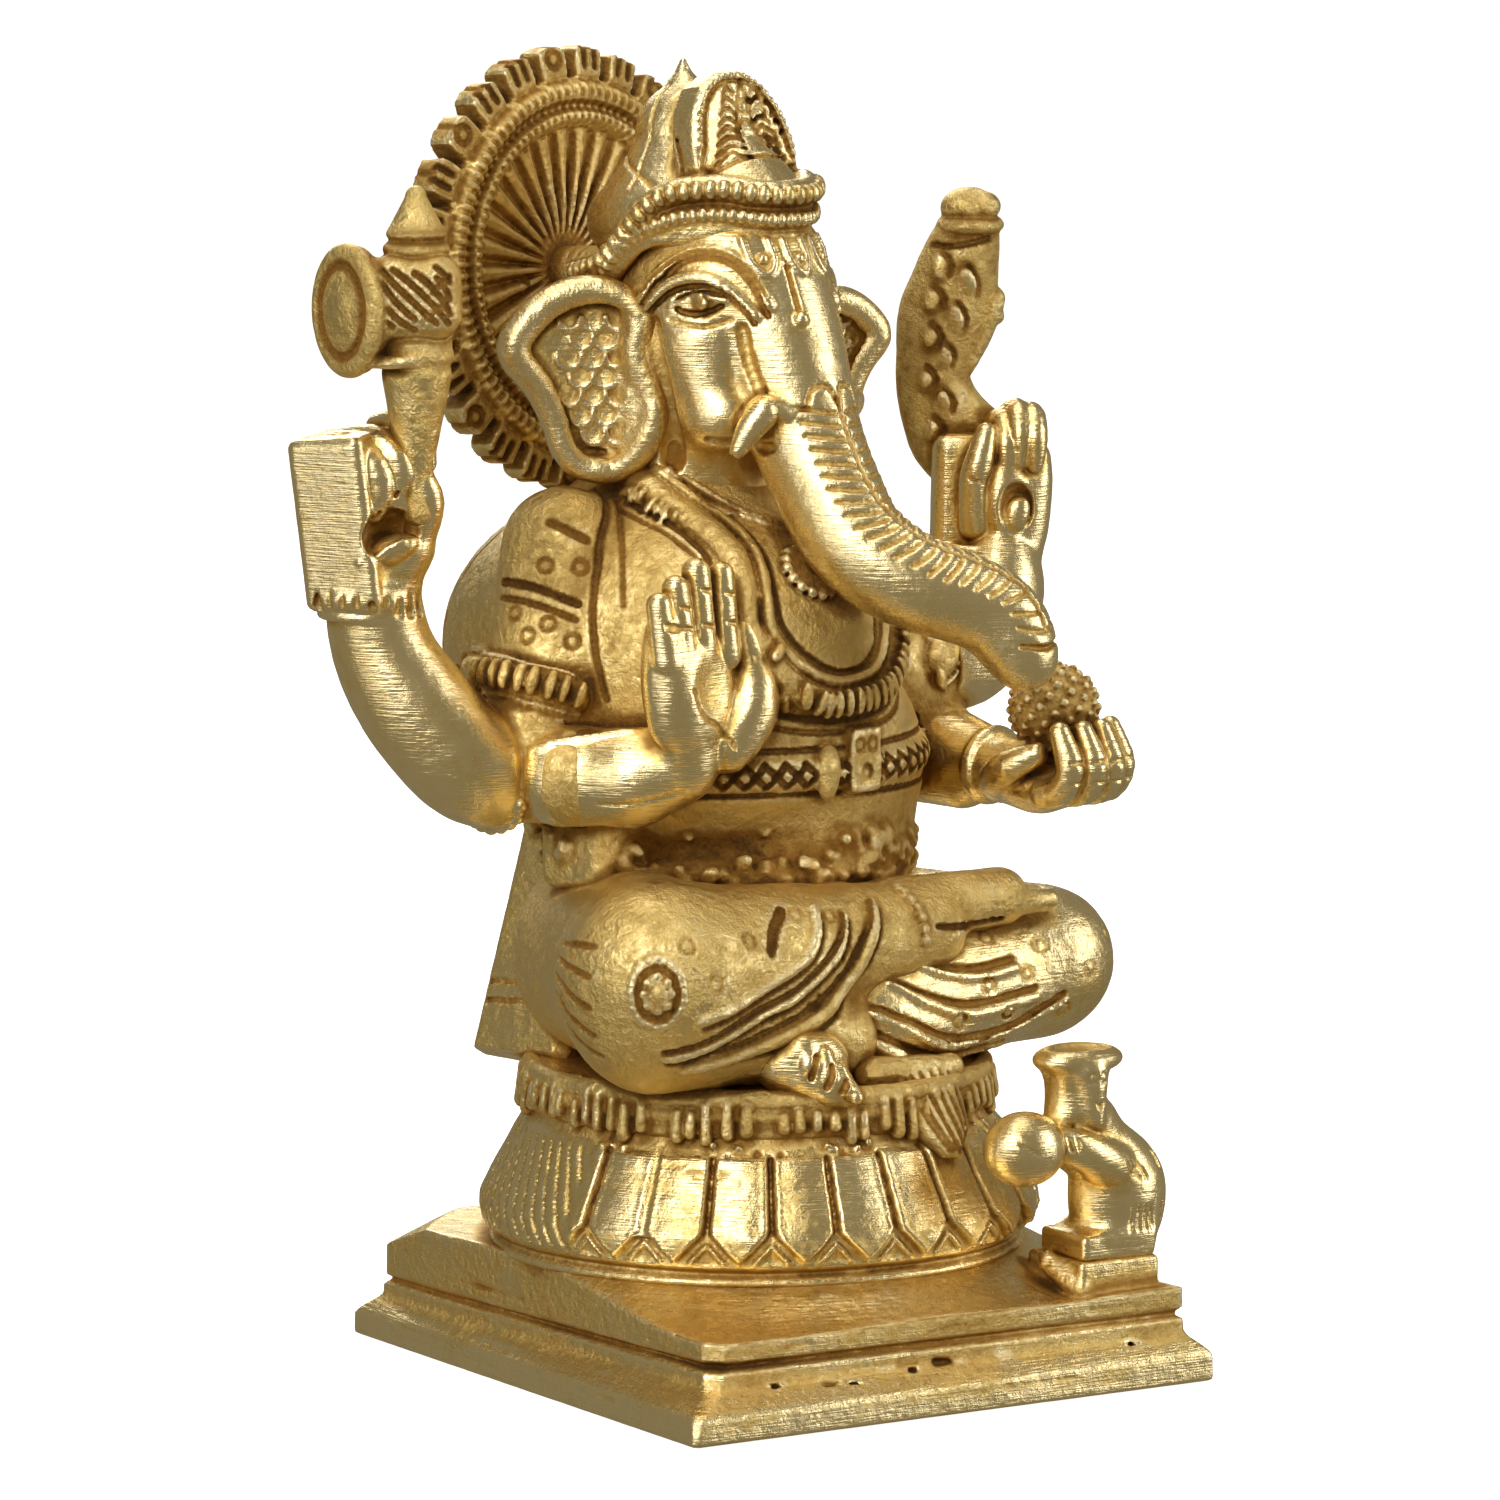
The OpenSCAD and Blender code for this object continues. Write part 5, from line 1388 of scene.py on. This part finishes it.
class Shader:
    """Shorthand for building a material's nodes."""

    def __init__(self, name):
        self.material = bpy.data.materials.new(name)
        self.material.use_nodes = True
        self.tree = self.material.node_tree
        self.shader = self.tree.nodes["Principled BSDF"]

    def node(self, kind, inputs=(), **settings):
        made = self.tree.nodes.new(kind)
        for key, value in settings.items():
            setattr(made, key, value)
        for key, value in dict(inputs).items():
            if isinstance(value, bpy.types.NodeSocket):
                self.tree.links.new(value, made.inputs[key])
            else:
                made.inputs[key].default_value = value
        return made

    def math(self, operation, a, b=0.0, c=0.0, clamp=False):
        return self.node("ShaderNodeMath", {0: a, 1: b, 2: c}, operation=operation,
            use_clamp=clamp).outputs[0]

    def span(self, value, low, high, to_low=0.0, to_high=1.0):
        inputs = {0: value, 1: low, 2: high, 3: to_low, 4: to_high}
        return self.node("ShaderNodeMapRange", inputs, interpolation_type="SMOOTHSTEP").outputs[0]

    def noise(self, place, scale, detail=3.0, rough=0.55):
        return self.node("ShaderNodeTexNoise",
            {"Vector": place, "Scale": scale, "Detail": detail, "Roughness": rough}).outputs[0]

    def blend(self, factor, a, b):
        mix = self.node("ShaderNodeMix", data_type="RGBA")
        self.tree.links.new(factor, mix.inputs[0])
        for socket, value in ((mix.inputs[6], a), (mix.inputs[7], b)):
            if isinstance(value, bpy.types.NodeSocket):
                self.tree.links.new(value, socket)
            else:
                socket.default_value = (*value, 1)
        return mix.outputs[2]


PALE = (0.97, 0.79, 0.43)
GOLD = (0.86, 0.62, 0.22)
# AMBER and DARK are patina browns that also serve as painted shade in hollows and between parts
AMBER = (0.48, 0.26, 0.058)
DARK = (0.22, 0.115, 0.034)


def brass(name, patina=0.5, grain=1.0, gloss=0.26, marks=0.5):
    """Aged brass: pale where rubbed, amber patina, pits and painted shade in hollows and under nearby
    parts, filed where smooth.
    """
    s = Shader(name)
    place = s.node("ShaderNodeTexCoord").outputs["Object"]
    wear_and_painted_shade = s.node("ShaderNodeAttribute", attribute_name="wear_and_painted_shade").outputs["Color"]
    parts = s.node("ShaderNodeSeparateColor", {0: wear_and_painted_shade})
    hollow, edge, shade = parts.outputs
    cloud = s.noise(place, 80.0, 3.0)
    mottle = s.noise(place, 620.0, 4.0, 0.65)
    speck = s.noise(place, 1900.0, 2.0, 0.6)
    # Painted shade and patina mask: hollows and shade from nearby parts darken the colour, edges less so
    hollow_and_shade_mask = s.math("MULTIPLY_ADD", hollow, 1.15, s.math("MULTIPLY", shade, 1.1))
    hollow_and_shade_mask = s.math("SUBTRACT", hollow_and_shade_mask, s.math("MULTIPLY", edge, 0.35))
    uneven = s.math("MULTIPLY_ADD", s.math("SUBTRACT", mottle, 0.5), 1.1,
        s.math("MULTIPLY", s.math("SUBTRACT", cloud, 0.5), 1.5))
    patina_and_painted_shade = s.math("ADD", hollow_and_shade_mask, s.math("MULTIPLY_ADD", uneven, 0.75, patina - 0.5))
    # Amber and dark brown painted where hollow or shaded (patina plus painted shade), pale on rubbed edges
    # elsewhere
    amber = s.span(patina_and_painted_shade, 0.18, 0.85)
    dark = s.span(s.math("ADD", patina_and_painted_shade, s.math("MULTIPLY", s.math("SUBTRACT", speck, 0.5), 0.8)),
        0.85, 1.6)
    bright = s.span(s.math("SUBTRACT", s.math("ADD", edge, 0.35), patina_and_painted_shade), 0.15, 0.75)
    colour = s.blend(bright, GOLD, PALE)
    colour = s.blend(amber, colour, AMBER)
    colour = s.blend(dark, colour, DARK)
    s.tree.links.new(colour, s.shader.inputs["Base Color"])
    s.shader.inputs["Metallic"].default_value = 1.0
    roughness = s.math("ADD", s.span(patina_and_painted_shade, -0.1, 1.0, gloss, 0.56),
        s.math("MULTIPLY", s.math("SUBTRACT", mottle, 0.5), 0.14))
    s.tree.links.new(roughness, s.shader.inputs["Roughness"])
    pits = s.math("MULTIPLY", s.span(s.noise(place, 1000.0, 5.0, 0.72), 0.3, 0.72),
        s.span(patina_and_painted_shade, -0.1, 0.6, 0.16 * grain, grain))
    stretched = s.node("ShaderNodeMapping",
        {"Vector": place, "Rotation": (0.3, 0.5, 0.2), "Scale": (1.0, 1.0, 26.0)}).outputs[0]
    scratch = s.math("MULTIPLY", s.noise(stretched, 170.0, 2.0, 0.6),
        s.span(patina_and_painted_shade, 0.5, 0.0, 0.0, marks))
    hammered = s.math("MULTIPLY", s.noise(place, 420.0, 3.0, 0.6), 1.3 * grain)
    height = s.math("ADD", s.math("ADD", pits, hammered), s.math("MULTIPLY", scratch, 0.4))
    bump = s.node("ShaderNodeBump", {"Height": height, "Strength": 1.0, "Distance": 0.00030})
    s.tree.links.new(bump.outputs[0], s.shader.inputs["Normal"])
    return s.material


FINISHES = {
    "polished": brass("brass_polished", 0.18, 0.30, 0.25, 0.9),
    "face": brass("brass_face", 0.17, 0.35, 0.27, 0.8),
    "chased": brass("brass_chased", 0.28, 0.7, 0.27, 0.6),
    "figure": brass("brass_antique", 0.62, 1.1, 0.31, 0.4),
    "rough": brass("brass_dark_antique", 0.62, 1.1, 0.34, 0.2),
    "lotus": brass("brass_lotus", 0.34, 0.45, 0.24, 1.0),
    "halo": brass("brass_halo", 0.58, 0.9, 0.32, 0.2),
    "filed": brass("brass_filed", 0.40, 0.6, 0.27, 1.2),
}


# ---------------------------------------------------------------- studio

# Floor disc in metres. Camera: lens in mm, angles from straight in front, distance in metres
FLOOR_REACH, FLOOR_SIDES = 4.0, 48
SENSOR_MM, LENS_MM = 36.0, 201.6
CAMERA_AZIMUTH, CAMERA_HEIGHT, CAMERA_DISTANCE = math.radians(-32.09), math.radians(7.485), 1.1
CAMERA_TARGET = (-0.004321, 0.0, 0.081367)


def make_studio():
    scene = bpy.context.scene
    world = bpy.data.worlds.new("studio")
    scene.world = world
    world.use_nodes = True
    tree = world.node_tree
    back = tree.nodes["Background"]
    back.inputs[0].default_value = (0.225, 0.205, 0.155, 1)
    back.inputs[1].default_value = 1.0
    seen = tree.nodes.new("ShaderNodeBackground")
    seen.inputs[0].default_value = (1, 1, 1, 1)
    seen.inputs[1].default_value = 1.0
    ray = tree.nodes.new("ShaderNodeLightPath")
    mix = tree.nodes.new("ShaderNodeMixShader")
    tree.links.new(ray.outputs["Is Camera Ray"], mix.inputs[0])
    tree.links.new(back.outputs[0], mix.inputs[1])
    tree.links.new(seen.outputs[0], mix.inputs[2])
    tree.links.new(mix.outputs[0], tree.nodes["World Output"].inputs[0])
    floor_mesh = bpy.data.meshes.new("floor")
    reach, count = FLOOR_REACH, FLOOR_SIDES
    ring = [(reach * math.cos(2 * math.pi * i / count), reach * math.sin(2 * math.pi * i / count),
        -0.0003) for i in range(count)]
    floor_mesh.from_pydata(ring, [], [tuple(range(count))])
    floor = bpy.data.objects.new("floor", floor_mesh)
    scene.collection.objects.link(floor)
    paint = bpy.data.materials.new("pale_floor")
    paint.use_nodes = True
    paper = paint.node_tree.nodes["Principled BSDF"]
    paper.inputs["Base Color"].default_value = (0.86, 0.86, 0.86, 1)
    paper.inputs["Roughness"].default_value = 0.9
    paper.inputs["Emission Color"].default_value = (1, 1, 1, 1)
    paper.inputs["Emission Strength"].default_value = 0.95
    floor_mesh.materials.append(paint)
    floor.visible_glossy = False
    focus = Vector((0, 0, 0.085))
    lamps = (("key", (-0.75, -0.55, 0.75), 0.62, 0.8, 6.4),
        ("fill", (0.8, -0.6, 0.4), 0.45, 0.8, 3.6),
             ("top", (0.0, 0.15, 1.1), 0.7, 0.7, 3.4), ("rim", (0.35, 0.9, 0.6), 0.5, 0.5, 2.2),
                 ("side", (-1.1, -0.25, 0.3), 0.7, 0.7, 2.2))
    for name, place, width, tall, power in lamps:
        light = bpy.data.lights.new(name, "AREA")
        light.shape = "RECTANGLE"
        light.size, light.size_y = width, tall
        light.energy = power
        lamp = bpy.data.objects.new(name, light)
        lamp.location = place
        lamp.rotation_euler = (focus - Vector(place)).to_track_quat("-Z", "Y").to_euler()
        scene.collection.objects.link(lamp)
    eye = bpy.data.cameras.new("camera")
    eye.sensor_width = SENSOR_MM
    eye.lens = LENS_MM
    camera = bpy.data.objects.new("camera", eye)
    azimuth, height, distance = CAMERA_AZIMUTH, CAMERA_HEIGHT, CAMERA_DISTANCE
    target = Vector(CAMERA_TARGET)
    away = Vector((math.sin(azimuth) * math.cos(height), -math.cos(azimuth) * math.cos(height),
        math.sin(height)))
    camera.location = target + away * distance
    camera.rotation_euler = (-away).to_track_quat("-Z", "Y").to_euler()
    scene.collection.objects.link(camera)
    scene.camera = camera
    scene.view_settings.view_transform = "Standard"


# ---------------------------------------------------------------- the whole idol


BUILDERS = (
    make_plinth, make_lotus, make_bead_ring, make_back_slab, make_torso, make_legs,
    make_head, make_crown, make_ears, make_halo, make_front_right_arm, make_front_left_arm,
    make_rear_right_arm, make_axe, make_rear_left_arm, make_goad, make_mouse,
)
for make in BUILDERS:
    make()
for entry in CLAYS:
    cast(entry, CLAYS)

plain = brass("brass_machined", 0.4, 0.6, 0.3, 0.5)
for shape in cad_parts.values():
    if not shape.hide_render:
        shape.data.materials.clear()
        shape.data.materials.append(plain)

make_studio()
